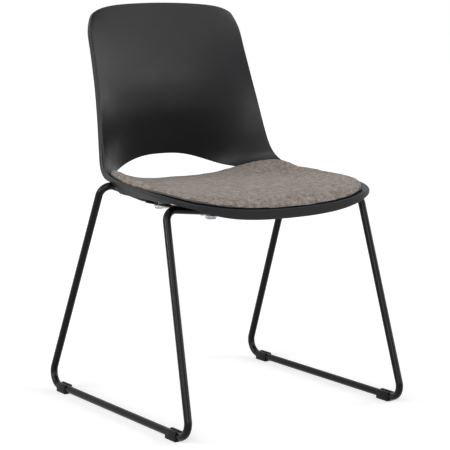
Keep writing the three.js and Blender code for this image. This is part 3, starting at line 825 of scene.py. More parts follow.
    def rim_height(self, across: float, along: float) -> float:
        """How far the rim is turned down."""
        near_front = max(1 - along / self.FRONT_TURN, 0.0) * (1 - abs(across) ** self.FRONT_FADE_POWER)
        return float(np.interp(along, *zip(*self.RIM_HEIGHTS))) + self.FRONT_RIM_EXTRA * near_front

    def flank_height(self, along: float) -> float:
        """How far the flank hangs below the rim, beside the seat."""
        return float(np.interp(along, *zip(*self.FLANK_HEIGHTS)))

    def over(self, x: float, y: float) -> np.ndarray:
        """Finds the point of the seat's face straight above a place in plan.

        Args:
            x: the place's X.
            y: the place's Y.

        Returns:
            The point.
        """
        low, high, across = 0.0, self.SEAT_END, 0.0
        for _ in range(self.HALVINGS):
            middle = (low + high) / 2
            across = x / self.point(1, middle)[0]
            if self.point(across, middle)[1] < y:
                low = middle
            else:
                high = middle
        return self.point(across, low)


@dataclass
class ShellMoulding:
    """The one-piece seat and back, with its turned-down rim, its opening and four bosses."""

    surface: ShellSurface
    thickness: float = SHEET
    rim_wall: float = 0.004
    rim_round: float = 0.0016
    foot_round: float = 0.0012
    flank_step: float = 0.0013
    flank_lean: float = 0.3
    least_flank: float = 0.0006
    least_wall: float = 0.0012
    ledge_rise: float = 0.0002
    inner_round: float = 0.002
    opening_round: float = 0.0017
    opening_width: float = 0.745
    opening_ends: float = 0.665
    opening_top: float = 0.7325
    opening_bottom: float = ShellSurface.SEAT_END
    top_power: float = 2.7
    bottom_power: float = 2.4
    side_columns: int = 6
    middle_columns: int = 26
    seat_rows: int = 36
    back_rows: int = 28
    boss_radius: float = 0.009
    boss_bore: float = 0.0048
    boss_edge: float = 0.0006
    boss_root: tuple[tuple[float, float], ...] = (
        (0.0, 0.0062), (0.0004, 0.0045), (0.0016, 0.0030), (0.0036, 0.0018), (0.0036, 0.0))
    boss_roof: float = 0.001
    smooth_degrees: float = 42.0

    def columns(self) -> list[float]:
        """Works out the net's columns.

        Returns:
            Their places across, from right to left of the chair.
        """
        half = self.middle_columns // 2
        across = [self.opening_width * i / half for i in range(-half, half + 1)]
        for i in range(1, self.side_columns + 1):
            out = self.opening_width + (1 - self.opening_width) * i / self.side_columns
            across = [-out, *across, out]
        return across

    def row(self, row: int, across: float) -> float:
        """Works out where a row lies at a place across.

        Args:
            row: the row's number.
            across: share of the half width, from -1 to 1.

        Returns:
            The row's place along.
        """
        side = min(abs(across) / self.opening_width, 1.0)
        if row <= self.seat_rows:
            rise = self.opening_ends - self.opening_bottom
            return (self.opening_bottom + rise * side ** self.bottom_power) * row / self.seat_rows
        edge = self.opening_top + (self.opening_ends - self.opening_top) * side ** self.top_power
        return edge + (1 - edge) * (row - self.seat_rows - 1) / self.back_rows

    def frame_at(self, spot: tuple[float, float], before: tuple[float, float],
                 after: tuple[float, float]) -> tuple[np.ndarray, np.ndarray, np.ndarray, np.ndarray]:
        """The edge's point and directions at one place of a boundary loop.

        Args:
            spot: the place, across and along.
            before: the place before it on the loop.
            after: the place after it.

        Returns:
            The point, the direction into the sheet, the rim's way down and the face's normal.
        """
        heading = self.surface.point(*after) - self.surface.point(*before)
        normal = self.surface.normal(*spot)
        inward = np.cross(normal, heading)
        inward /= np.linalg.norm(inward)
        down = np.array([0.0, -normal[1], -normal[2]])
        down /= np.linalg.norm(down)
        return self.surface.point(*spot), inward, down, normal

    @staticmethod
    def rounded(edge: np.ndarray, inward: np.ndarray, away: np.ndarray, radius: float) -> list[np.ndarray]:
        """A quarter round that leaves the face and ends on its edge, away from the sitter."""
        return [edge + inward * radius * (1 - math.sin(t)) + away * radius * (1 - math.cos(t))
                for t in QUARTER_TURN]

    def rim_profile(self, spot: tuple[float, float], before: tuple[float, float],
                    after: tuple[float, float]) -> list[np.ndarray]:
        """The rim's section from the face's last line round to the underside's first.

        Args:
            spot: the place on the loop, across and along.
            before: the place before it.
            after: the place after it.

        Returns:
            The section's points.
        """
        edge, inward, down, normal = self.frame_at(spot, before, after)
        height, flank = self.surface.rim_height(*spot), self.surface.flank_height(spot[1])
        r, f, wall, step = self.rim_round, self.foot_round, self.rim_wall, self.flank_step
        corner = edge + inward * wall - normal * self.thickness
        foot = edge + down * height
        points = self.rounded(edge, inward, down, r)
        points += [
            edge + down * (r + 0.3 * (height - r - f)),
            edge + down * (r + 0.75 * (height - r - f)),
            foot - down * f,
            foot - down * f * 0.3 + inward * f * 0.3,
            foot + inward * f,
        ]
        lean = inward * flank * self.flank_lean
        ledge = foot + inward * step
        drop = down * max(flank, self.least_flank)
        wide = inward * max(wall - step, self.least_wall)
        points += [
            ledge - down * self.ledge_rise,
            ledge + drop * 0.25 + lean * 0.25,
            ledge + drop * 0.85 + lean,
            ledge + drop + lean + wide * 0.3,
            ledge + drop + lean + wide * 0.7,
            ledge + drop * 0.85 + lean + wide,
        ]
        inner = points[-1]
        rise = corner - inner
        length = float(np.linalg.norm(rise))
        climb = rise / length
        soft = min(self.inner_round, length * 0.4)
        points.append(inner + rise * 0.45)
        points.append(corner - climb * soft)
        points.append(corner - climb * soft * 0.3 + inward * soft * 0.3)
        points.append(corner + inward * soft)
        return points

    def opening_profile(self, spot: tuple[float, float], before: tuple[float, float],
                        after: tuple[float, float]) -> list[np.ndarray]:
        """The opening's edge, rounded above and below.

        Args:
            spot: the place on the loop, across and along.
            before: the place before it.
            after: the place after it.

        Returns:
            The section's points.
        """
        edge, inward, _, normal = self.frame_at(spot, before, after)
        r, depth = self.opening_round, self.thickness
        upper = self.rounded(edge, inward, -normal, r)
        lower = [edge + inward * r * (1 - math.sin(t)) - normal * (depth - r * (1 - math.cos(t)))
                 for t in reversed(QUARTER_TURN)]
        return upper + [edge - normal * depth / 2] + lower

    def skin(self) -> bpy.types.Object:
        """Makes the closed skin of the sheet, its rim and the opening's edge.

        Returns:
            The mesh object, not yet subdivided.
        """
        book = SkinBook()
        across = self.columns()
        last_column, last_row = len(across) - 1, self.seat_rows + self.back_rows + 1
        low, high = self.seat_rows, self.seat_rows + 1
        first_open, last_open = self.side_columns, last_column - self.side_columns

        def shared(i: int, j: int) -> tuple[int, int]:
            """The net place that stands for this one, as rows meet beside the opening."""
            return (i, low) if j == high and not first_open < i < last_open else (i, j)

        def at(spot: tuple[int, int]) -> tuple[float, float]:
            """The net place as shares across and along."""
            return across[spot[0]], self.row(spot[1], across[spot[0]])

        rows = [j for j in range(last_row + 1) if j != high]
        rim = [(i, 0) for i in range(last_column)] + [(last_column, j) for j in rows[:-1]]
        rim += [(i, last_row) for i in range(last_column, 0, -1)] + [(0, j) for j in rows[:0:-1]]
        slit = [(i, low) for i in range(last_open, first_open, -1)]
        slit += [(i, high) if i > first_open else (i, low) for i in range(first_open, last_open)]

        bands: dict[tuple[int, int], list[int]] = {}
        for loop, profile in ((rim, self.rim_profile), (slit, self.opening_profile)):
            for k, spot in enumerate(loop):
                before, after = loop[k - 1], loop[(k + 1) % len(loop)]
                bands[spot] = [book.add(p) for p in profile(at(spot), at(before), at(after))]

        upper: dict[tuple[int, int], int] = {}
        under: dict[tuple[int, int], int] = {}
        for i in range(last_column + 1):
            for j in range(last_row + 1):
                spot = shared(i, j)
                if spot in upper:
                    continue
                if spot in bands:
                    upper[spot], under[spot] = bands[spot][0], bands[spot][-1]
                else:
                    upper[spot] = book.add(self.surface.point(*at(spot)))
                    under[spot] = book.add(self.surface.above(*at(spot), -self.thickness))
        for i in range(last_column):
            for j in range(last_row):
                if j == low:
                    continue
                corners = [shared(i, j), shared(i + 1, j), shared(i + 1, j + 1), shared(i, j + 1)]
                book.quad(*(upper[c] for c in corners))
                book.quad(*(under[c] for c in reversed(corners)))
        for loop in (rim, slit):
            for k, spot in enumerate(loop):
                band, following = bands[spot], bands[loop[(k + 1) % len(loop)]]
                for b in range(len(band) - 1):
                    book.quad(band[b], band[b + 1], following[b + 1], following[b])
        return book.piece("shell_moulding")

    def boss(self, x: float, y: float) -> bpy.types.Object:
        """Makes one boss with a flared root that ends inside the sheet.

        Args:
            x: the boss' X.
            y: the boss' Y.

        Returns:
            The closed piece.
        """
        foot = BAR_TOP + GAP
        top = float(self.surface.over(x, y)[2]) - self.thickness / 2
        r, rise, bore, edge = self.boss_radius, top - foot, self.boss_bore, self.boss_edge
        roof = min(2 * GAP + INSERT_LENGTH + 2 * GAP, rise - self.boss_roof)
        profile = [(bore, 0.0), (r - edge, 0.0), (r, edge)]
        profile += [(r + flare, rise - below) for flare, below in self.boss_root]
        profile += [(0.0, rise), (0.0, roof), (bore, roof), (bore, 0.0)]
        return Bench.turned("boss", profile, (x, y, foot))

    def build(self, finishes: Finishes) -> bpy.types.Object:
        """Makes and dresses the shell.

        Args:
            finishes: the chair's materials.

        Returns:
            The finished piece.
        """
        piece = self.skin()
        Bench.tidy(piece, Bench.FINE_MERGE)
        Bench.modify(piece, "SUBSURF", levels=1, render_levels=1)
        for side in Side:
            for end in End:
                Bench.cut(piece, self.boss(side.value * BAR_X, SCREW_Y[end]), "UNION")
        Bench.smooth(piece, self.smooth_degrees)
        return Bench.dress(piece, finishes.shell, Slot.SHELL, "shell")


@dataclass
class SeatPad:
    """The upholstered pad: a thin crowned cushion with a soft, round edge."""

    CLOTH = {"quality": 5, "mass": 0.25, "tension_stiffness": 12.0, "compression_stiffness": 12.0,
             "bending_stiffness": 0.6, "use_pressure": True, "uniform_pressure_force": 3.0}

    surface: ShellSurface
    front: float = 0.0
    rear: float = 0.649
    rear_corners: float = 0.038
    width: float = 0.976
    corner_power: float = 9.0
    front_corner_power: float = 6.5
    bottom: float = 0.0013
    edge_height: float = 0.0092
    crown: float = 0.0078
    side_gain: float = 0.0062
    side_power: float = 6.0
    thighs: tuple[float, float] = (0.2, 0.45)
    rear_fade: tuple[float, float] = (0.58, 0.68)
    spokes: int = 120
    net: tuple[float, ...] = (0.15, 0.3, 0.45, 0.6, 0.72, 0.84, 0.92)
    edge_rings: tuple[tuple[float, float], ...] = (
        (0.0024, 0.0), (0.0010, 0.0006), (0.0004, 0.0020), (0.0003, 0.0045), (0.0009, 0.0068))
    shoulder: tuple[float, float] = (0.0024, 0.0008)
    face_inset: float = 0.0050
    voxel: float = 0.0036
    frames: int = 14
    swell_limit: float = 0.0022
    pinned_slope: float = -0.35
    smoothings: int = 8

    def place(self, angle: float, reach: float) -> tuple[float, float]:
        """Works out a place on the pad.

        Args:
            angle: the direction from the pad's middle.
            reach: 0 in the middle, 1 on the outline.

        Returns:
            The shares across and along the shell.
        """
        c, s = math.cos(angle), math.sin(angle)
        power = self.corner_power if s > 0 else self.front_corner_power
        r = (abs(c) ** power + abs(s) ** power) ** (-1 / power)
        x, y = reach * r * c, reach * r * s
        rear = self.rear + self.rear_corners * abs(x) ** 4
        middle = (self.front + self.rear) / 2
        along = middle + (middle - self.front) * y if y < 0 else middle + (rear - middle) * y
        return self.width * x, along

    def gain(self, across: float, along: float) -> float:
        """What the pad's upper face gains beside the sitter's hips.

        Args:
            across: share of the half width, from -1 to 1.
            along: share of the way from the front edge to the top.

        Returns:
            The added height.
        """
        def step(ends: tuple[float, float]) -> float:
            """A soft step from 0 to 1 between two places along."""
            t = min(max((along - ends[0]) / (ends[1] - ends[0]), 0.0), 1.0)
            return t * t * (3 - 2 * t)

        side = abs(across / self.width) ** self.side_power
        return self.side_gain * side * step(self.thighs) * (1 - step(self.rear_fade))

    def spot(self, angle: float, reach: float, height: float) -> np.ndarray:
        """Works out a point of the pad's skin, with the side gain in its upper half.

        Args:
            angle: the direction from the pad's middle.
            reach: 0 in the middle, 1 on the outline.
            height: the height above the shell.

        Returns:
            The point.
        """
        across, along = self.place(angle, reach)
        upper = min(max((height - self.bottom) / self.edge_height * 2 - 1, 0.0), 1.0)
        return self.surface.above(across, along, height + upper * self.gain(across, along))

    def blank(self) -> bpy.types.Object:
        """Makes the closed solid that the cushion swells from.

        Returns:
            The mesh object.
        """
        half = self.width * self.surface.WIDTH / 2

        def inset(distance: float) -> float:
            """The reach a distance inside the outline."""
            return 1 - distance / half

        def face(reach: float) -> float:
            """The crowned upper face's height above the shell."""
            return self.bottom + self.edge_height + self.crown * (1 - reach ** 2)

        rings = [(0.0, self.bottom)] + [(reach, self.bottom) for reach in self.net]
        rings += [(inset(aside), self.bottom + rise) for aside, rise in self.edge_rings]
        turn, drop = self.shoulder
        rings.append((inset(turn), face(inset(turn)) - drop))
        rings.append((inset(self.face_inset), face(inset(self.face_inset))))
        rings += [(reach, face(reach)) for reach in reversed(self.net)] + [(0.0, face(0.0))]
        book = SkinBook()
        loops: list[list[int]] = []
        for reach, height in rings:
            if reach == 0.0:
                loops.append([book.add(self.spot(0.0, 0.0, height))] * self.spokes)
                continue
            loops.append([book.add(self.spot(2 * math.pi * k / self.spokes, reach, height))
                          for k in range(self.spokes)])
        for ring, following in zip(loops, loops[1:]):
            for k in range(self.spokes):
                n = (k + 1) % self.spokes
                book.quad(ring[k], ring[n], following[n], following[k])
        return book.piece("seat_pad_cushion")

    def swell(self, piece: bpy.types.Object) -> None:
        """Inflates the pad a little with a cloth simulation and keeps the movement small.

        Args:
            piece: the pad.
        """
        mesh = piece.data
        start = np.empty(len(mesh.vertices) * 3)
        mesh.vertices.foreach_get("co", start)
        start = start.reshape(-1, 3)
        normals = np.array([v.normal[:] for v in mesh.vertices])
        group = piece.vertex_groups.new(name="underside")
        group.add([i for i, n in enumerate(normals) if n[2] < self.pinned_slope], 1.0, "REPLACE")
        Bench.pick(piece)
        cloth = piece.modifiers.new("swell", "CLOTH")
        assign(cloth.settings, vertex_group_mass=group.name, **self.CLOTH)
        cloth.settings.effector_weights.gravity = 0.0
        cloth.collision_settings.use_self_collision = False
        assign(cloth.point_cache, frame_start=1, frame_end=self.frames)
        scene = bpy.context.scene
        for step in range(1, self.frames + 1):
            scene.frame_set(step)
        shaped = piece.evaluated_get(bpy.context.evaluated_depsgraph_get())
        swollen = np.empty(len(mesh.vertices) * 3)
        shaped.data.vertices.foreach_get("co", swollen)
        piece.modifiers.remove(cloth)
        scene.frame_set(1)
        move = swollen.reshape(-1, 3) - start
        length = np.linalg.norm(move, axis=1, keepdims=True)
        capped = move * np.minimum(1.0, self.swell_limit / np.maximum(length, 1e-9))
        mesh.vertices.foreach_set("co", (start + capped).ravel())
        mesh.update()
        LOG.info("pad swell: largest move %.2f mm", float(length.max()) * 1000)

    def build(self, finishes: Finishes) -> bpy.types.Object:
        """Makes and dresses the pad.

        Args:
            finishes: the chair's materials.

        Returns:
            The finished piece.
        """
        piece = self.blank()
        Bench.tidy(piece, Bench.FINE_MERGE)
        Bench.modify(piece, "REMESH", mode="VOXEL", voxel_size=self.voxel, use_smooth_shade=True)
        Bench.modify(piece, "SMOOTH", factor=0.5, iterations=self.smoothings)
        self.swell(piece)
        Bench.modify(piece, "SUBSURF", levels=1, render_levels=1)
        Bench.pick(piece)
        bpy.ops.object.shade_smooth()
        Bench.dress(piece, finishes.fabric, Slot.FABRIC, "pad_cover", "pad_foam")
        return piece


# The frame


@dataclass(frozen=True)
class Corner:
    """A corner of a rod's path and its bend radius."""

    at: Triple
    radius: float = 0.0


@dataclass
class RodFrame:
    """The two bent side rods, their butt welds and the two mounting bars."""

    level_width: float = 0.272
    leg_top_width: float = 0.467
    front_leg_rise: float = 0.0105
    rear_leg_rise: float = 0.040
    bottom_bend: float = BOTTOM_BEND
    top_bend: float = 0.022
    level_bend: float = 0.040
    rod_sides: int = 32
    bead_steps: int = 14
    bar_width: float = 0.020
    bar_overhang: float = 0.008
    bar_corner: float = 0.005
    bar_bevel: float = 0.0004
    corner_reach: float = 0.001
    screw_hole: float = 0.0033
    stem_hole: float = 0.0030
    hole_depth: float = 0.020
    degrees_per_step: float = 4.0
    weld_radius: float = 0.0011
    weld_lift: float = 0.0001
    weld_spread: float = 2.0
    weld_crown: float = 0.0002
    weld_ripple: float = 0.00022
    weld_twist: float = 260.0
    seam_half: float = 0.0075
    seam_radius: float = 0.0019
    seam_rise: float = 0.0008
    seam_offset: float = 0.0052
    seam_voxel: float = 0.0006
    seam_share: float = 0.86
    seam_taper: float = 0.34
    seam_wave: float = 0.10
    seam_wave_turns: float = 17.0

    def foot_reach(self, top_reach: float, top_z: float) -> float:
        """How far out a raked leg's line meets the runner's axis.

        Args:
            top_reach: distance of the leg's top corner from the base's middle.
            top_z: the top corner's height.

        Returns:
            The distance of the bottom corner from the base's middle.
        """
        over = top_z - RUNNER_Z - self.bottom_bend
        out = BEND_START_Y - top_reach
        rake = math.atan2(out, over) + math.asin(self.bottom_bend / math.hypot(out, over))
        return top_reach + (top_z - RUNNER_Z) * math.tan(rake)

    def path(self, side: Side) -> list[Corner]:
        """Lists the corners of one side rod.

        Args:
            side: which rod.

        Returns:
            The corners, from the front weld round to the rear weld.
        """
        sign = side.value
        level, leg, runner = sign * self.level_width / 2, sign * self.leg_top_width / 2, sign * RUNNER_X
        front_z, rear_z = LEVEL_Z + self.front_leg_rise, LEVEL_Z + self.rear_leg_rise
        return [
            Corner((sign * GAP / 2, FRONT_ROD_Y, LEVEL_Z)),
            Corner((level, FRONT_ROD_Y, LEVEL_Z), self.level_bend),
            Corner((leg, FRONT_ROD_Y, front_z), self.top_bend),
            Corner((runner, -self.foot_reach(-FRONT_ROD_Y, front_z), RUNNER_Z), self.bottom_bend),
            Corner((runner, self.foot_reach(REAR_ROD_Y, rear_z), RUNNER_Z), self.bottom_bend),
            Corner((leg, REAR_ROD_Y, rear_z), self.top_bend),
            Corner((level, REAR_ROD_Y, LEVEL_Z), self.level_bend),
            Corner((sign * GAP / 2, REAR_ROD_Y, LEVEL_Z)),
        ]

    def side_rod(self, side: Side) -> bpy.types.Object:
        """Draws a circle along the path: straight runs by extrude, bends by spin.

        Args:
            side: which rod.

        Returns:
            The closed piece.
        """
        corners = self.path(side)
        piece = Bench.start(bpy.ops.mesh.primitive_circle_add, f"{side.word}_side_rod_bent",
                            vertices=self.rod_sides, radius=ROD_RADIUS, fill_type="NOTHING",
                            location=corners[0].at, rotation=Bench.ALONG_X)
        Bench.edit(piece, "EDGE")
        here = Vector(corners[0].at)
        for before, corner, after in zip(corners, corners[1:], corners[2:]):
            into = (Vector(corner.at) - Vector(before.at)).normalized()
            out = (Vector(after.at) - Vector(corner.at)).normalized()
            turn = into.angle(out)
            start = Vector(corner.at) - into * corner.radius * math.tan(turn / 2)
            inward = (out - into * math.cos(turn)).normalized()
            centre = start + inward * corner.radius
            axis = into.cross(out).normalized()
            bpy.ops.mesh.extrude_region_move(TRANSFORM_OT_translate={"value": start - here})
            bpy.ops.mesh.spin(steps=max(4, round(math.degrees(turn) / self.degrees_per_step)),
                              angle=-turn, center=centre, axis=axis)
            here = Vector(corner.at) + out * corner.radius * math.tan(turn / 2)
        last = Vector(corners[-1].at)
        bpy.ops.mesh.extrude_region_move(TRANSFORM_OT_translate={"value": last - here})
        bpy.ops.mesh.select_all(action="SELECT")
        bpy.ops.mesh.fill_holes(sides=0)
        bpy.ops.object.mode_set(mode="OBJECT")
        Bench.tidy(piece)
        Bench.smooth(piece, 40.0)
        return piece

    def butt_weld(self, end: End) -> bpy.types.Object:
        """Makes the rippled bead round a butt joint.

        Args:
            end: which cross rod.

        Returns:
            The closed piece.
        """
        y = FRONT_ROD_Y if end is End.FRONT else REAR_ROD_Y
        piece = Bench.start(bpy.ops.mesh.primitive_torus_add, f"{end.word}_butt_weld_bead",
                            (1.0, 1.0, self.weld_spread), location=(0.0, y, LEVEL_Z),
                            rotation=Bench.ALONG_X, major_segments=84, minor_segments=12,
                            major_radius=ROD_RADIUS + self.weld_lift, minor_radius=self.weld_radius)
        for vertex in piece.data.vertices:
            out = vertex.co - Vector((0.0, y, LEVEL_Z))
            angle = math.atan2(out.z, out.y)
            wave = math.sin(angle * self.bead_steps / 2 + vertex.co.x * self.weld_twist)
            radial = Vector((0.0, out.y, out.z)).normalized()
            vertex.co += radial * (self.weld_crown - self.weld_ripple * abs(wave))
        Bench.smooth(piece, 60.0)
        return piece

    def seam_weld(self, name: str, x: float, y: float) -> bpy.types.Object:
        """Makes the bead in the notch between a bar and the rod over it.

        Args:
            name: the piece's name.
            x: the bead's X.
            y: the bead's Y.

        Returns:
            The closed piece.
        """
        height = BAR_TOP + self.seam_rise
        piece = Bench.bar(name, (x, y, height), self.seam_radius, 2 * self.seam_half, 12, Bench.ALONG_X)
        Bench.edit(piece, "EDGE")
        bpy.ops.mesh.subdivide(number_cuts=1)
        bpy.ops.object.mode_set(mode="OBJECT")
        Bench.modify(piece, "REMESH", mode="VOXEL", voxel_size=self.seam_voxel,
                     use_smooth_shade=True)
        for vertex in piece.data.vertices:
            share = (vertex.co.x - x) / self.seam_half
            centre = Vector((vertex.co.x, y, height))
            wave = self.seam_wave * math.sin(share * self.seam_wave_turns)
            thin = self.seam_share - self.seam_taper * share ** 6 + wave
            vertex.co = centre + (vertex.co - centre) * thin
        Bench.modify(piece, "SMOOTH", factor=0.5, iterations=3)
        return piece

    def mounting_bar(self, side: Side) -> bpy.types.Object:
        """Makes a flat bar with round corners, its holes and the weld beads on it.

        Args:
            side: which bar.

        Returns:
            The piece, with the beads in it.
        """
        front, rear = FRONT_ROD_Y - self.bar_overhang, REAR_ROD_Y + self.bar_overhang
        x = side.value * BAR_X
        middle = (x, (front + rear) / 2, (BAR_TOP + BAR_BOTTOM) / 2)
        piece = Bench.box(f"{side.word}_mounting_bar_flat", middle,
                          (self.bar_width, rear - front, BAR_THICKNESS))
        half = self.bar_width / 2 - self.corner_reach

        def at_corner(point: Vector) -> bool:
            """Says whether an edge's middle lies on one of the bar's upright corners."""
            from_end = min(abs(point.y - front), abs(point.y - rear))
            return abs(point.x - x) > half and from_end < self.corner_reach

        Bench.edit(piece, "EDGE", at_corner)
        bpy.ops.mesh.bevel(offset=self.bar_corner, segments=5, affect="EDGES")
        bpy.ops.object.mode_set(mode="OBJECT")
        holes = [(SCREW_Y[end], self.screw_hole) for end in End]
        holes += [(BUMPER_Y[end], self.stem_hole) for end in End]
        for y, radius in holes:
            Bench.cut(piece, Bench.bar("hole", (x, y, middle[2]), radius, self.hole_depth))
        Bench.modify(piece, "BEVEL", width=self.bar_bevel, segments=2, limit_method="ANGLE",
                     angle_limit=math.radians(50))
        Bench.smooth(piece)
        beads = [self.seam_weld("bead", x, rod_y + step * self.seam_offset)
                 for rod_y in (FRONT_ROD_Y, REAR_ROD_Y) for step in (-1, 1)]
        return Bench.join([piece, *beads])

    def build(self, finishes: Finishes) -> None:
        """Makes and dresses the frame's pieces.

        Args:
            finishes: the chair's materials.
        """
        for side in Side:
            Bench.dress(self.side_rod(side), finishes.rod, Slot.ROD, f"{side.word}_side_rod")
            Bench.dress(self.mounting_bar(side), finishes.rod, Slot.ROD, f"{side.word}_mounting_bar")
        for end in End:
            Bench.dress(self.butt_weld(end), finishes.rod, Slot.ROD, f"{end.word}_butt_weld")


@dataclass
class Fittings:
    """Bumpers, glides and the screws with their washers."""

    PAD_SCREWS = {End.FRONT: (0.39, 0.225), End.REAR: (0.31, 0.57)}

    surface: ShellSurface
    bumper_radius: float = 0.011
    bumper_height: float = 0.008
    dome_flat_share: float = 0.45
    dome: tuple[tuple[float, float], ...] = (
        (0.0030, 0.0003), (0.0014, 0.0009), (0.0004, 0.0020), (0.0, 0.0034))
    dome_rise: float = 0.0001
    shoulder: tuple[tuple[float, float], ...] = ((0.0, 0.0012), (0.0003, 0.0004), (0.0009, 0.0))
    stem_radius: float = 0.0027
    barb: tuple[tuple[float, float], ...] = ((0.0037, GAP), (0.0034, 0.0011), (0.0024, 0.0025))
    glide_width: float = 0.0185
    glide_length: float = 0.036
    glide_crown: float = 0.0012
    glide_slit: float = 0.006
    glide_bevel: float = 0.0016
    glide_play: float = 0.0002
    slit_rise: float = 0.010
    washer_radius: float = 0.007
    washer_thickness: float = 0.0012
    washer_bore: float = 0.0033
    washer_edge: float = 0.0002
    head_radius: float = 0.00525
    head_height: float = 0.0033
    head_edge: float = 0.0002
    shank_radius: float = 0.0027
    tip_round: float = 0.0012
    socket_width: float = 0.004
    socket_depth: float = 0.004
    board_rise: float = 0.0026
    board_thickness: float = 0.003
    pan_height: float = 0.0024
    pan_radius: float = 0.0045
    pan_dome: tuple[tuple[float, float], ...] = ((0.0022, 0.0001), (0.0034, 0.0005), (0.0043, 0.0013))
    pan_edge: float = 0.0003
    pan_shank: float = 0.0020
    pan_tip: float = 0.0010
    recess: Triple = (0.0046, 0.0010, 0.0028)

    def bumper(self, name: str, place: Triple) -> bpy.types.Object:
        """Makes a round soft foot with a domed face and a stem through the bar.

        Args:
            name: the piece's name.
            place: the point under the bar that it sits at.

        Returns:
            The closed piece.
        """
        r, h = self.bumper_radius, self.bumper_height
        top = -GAP
        sole = top - h
        profile = [(0.0, sole), (r * self.dome_flat_share, sole + self.dome_rise)]
        profile += [(r - inset, sole + rise) for inset, rise in self.dome]
        profile += [(r - inset, top - drop) for inset, drop in self.shoulder]
        profile += [(self.stem_radius, top), (self.stem_radius, BAR_THICKNESS + GAP)]
        profile += [(radius, BAR_THICKNESS + rise) for radius, rise in self.barb]
        profile.append((0.0, profile[-1][1]))
        piece = Bench.turned(name, profile, place)
        Bench.smooth(piece, 40.0)
        return piece

    def glide(self, name: str, x: float, y: float) -> bpy.types.Object:
        """Makes a sleeve with a flat sole, a channel for the rod and a slit on top.

        Args:
            name: the piece's name.
            x: the sleeve's X.
            y: the sleeve's Y.

        Returns:
            The closed piece.
        """
        top = RUNNER_Z + ROD_RADIUS + self.glide_crown
        piece = Bench.box(name, (x, y, top / 2), (self.glide_width, self.glide_length, top))
        Bench.edit(piece, "EDGE")
        bpy.ops.mesh.bevel(offset=self.glide_bevel, segments=3, affect="EDGES", clamp_overlap=True)
        bpy.ops.object.mode_set(mode="OBJECT")
        Bench.cut(piece, Bench.bar("channel", (x, y, RUNNER_Z), ROD_RADIUS + self.glide_play,
                                   self.glide_length * 2, 48, Bench.ALONG_Y))
        Bench.cut(piece, Bench.box("slit", (x, y, RUNNER_Z + self.slit_rise),
                                   (self.glide_slit, self.glide_length * 2, 2 * self.slit_rise)))
        Bench.smooth(piece, 38.0)
        return piece

    def shell_screw(self, name: str, place: Triple, length: float) -> bpy.types.Object:
        """Makes a button-head screw with a hex socket, its head down.

        Args:
            name: the piece's name.
            place: the point where head and shank meet.
            length: the shank's length.

        Returns:
            The closed piece.
        """
        head, h, shank = self.head_radius, self.head_height, self.shank_radius
        profile = [(0.0, -h), (head * 0.5, -h), (head * 0.72, -h * 0.88), (head * 0.9, -h * 0.6),
                   (head, -h * 0.28), (head, -h * 0.05), (head - self.head_edge, 0.0),
                   (shank, 0.0), (shank, length - self.tip_round), (shank - self.tip_round, length),
                   (0.0, length)]
        piece = Bench.turned(name, profile, place)
        x, y, z = place
        Bench.cut(piece, Bench.bar("socket", (x, y, z - h), self.socket_width / math.sqrt(3),
                                   self.socket_depth, 6))
        Bench.smooth(piece)
        return piece

    def washer(self, name: str, place: Triple) -> bpy.types.Object:
        """Makes a flat washer with broken edges.

        Args:
            name: the piece's name.
            place: the middle of its lower face.

        Returns:
            The closed piece.
        """
        inner, outer = self.washer_bore, self.washer_radius
        t, e = self.washer_thickness, self.washer_edge
        profile = [(inner, e), (inner + e, 0.0), (outer - e, 0.0), (outer, e), (outer, t - e),
                   (outer - e, t), (inner + e, t), (inner, t - e), (inner, e)]
        piece = Bench.turned(name, profile, place)
        Bench.smooth(piece, 30.0)
        return piece

    def pad_screw(self, name: str, across: float, along: float) -> bpy.types.Object:
        """Makes a pan-head screw under the shell, square on its face, with a cross recess.

        Args:
            name: the piece's name.
            across: share of the half width, from -1 to 1.
            along: share of the way from the front edge to the top.

        Returns:
            The closed piece.
        """
        seat = -SHEET - 2 * GAP
        tip = self.board_rise + self.board_thickness - GAP
        crown = seat - self.pan_height
        profile = [(0.0, crown)] + [(radius, crown + rise) for radius, rise in self.pan_dome]
        profile += [(self.pan_radius, seat - self.pan_edge), (self.pan_radius, seat), (self.pan_shank, seat),
                    (self.pan_shank, tip - self.pan_tip), (self.pan_tip, tip), (0.0, tip)]
        piece = Bench.turned(name, profile, (0.0, 0.0, 0.0), 32)
        long, wide, deep = self.recess
        for size in ((long, wide, deep), (wide, long, deep)):
            Bench.cut(piece, Bench.box("recess", (0.0, 0.0, crown), size))
        Bench.smooth(piece)
        normal = Vector(self.surface.normal(across, along))
        turn = Vector((0.0, 0.0, 1.0)).rotation_difference(normal).to_matrix().to_4x4()
        piece.data.transform(turn)
        piece.data.transform(turn.Translation(Vector(self.surface.point(across, along))))
        return piece

    @staticmethod
    def finish_node(name: str, material: bpy.types.Material) -> None:
        """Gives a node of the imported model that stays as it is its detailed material.

        Args:
            name: the node's name.
            material: its material.
        """
        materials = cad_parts[name].data.materials
        materials.clear()
        materials.append(material)

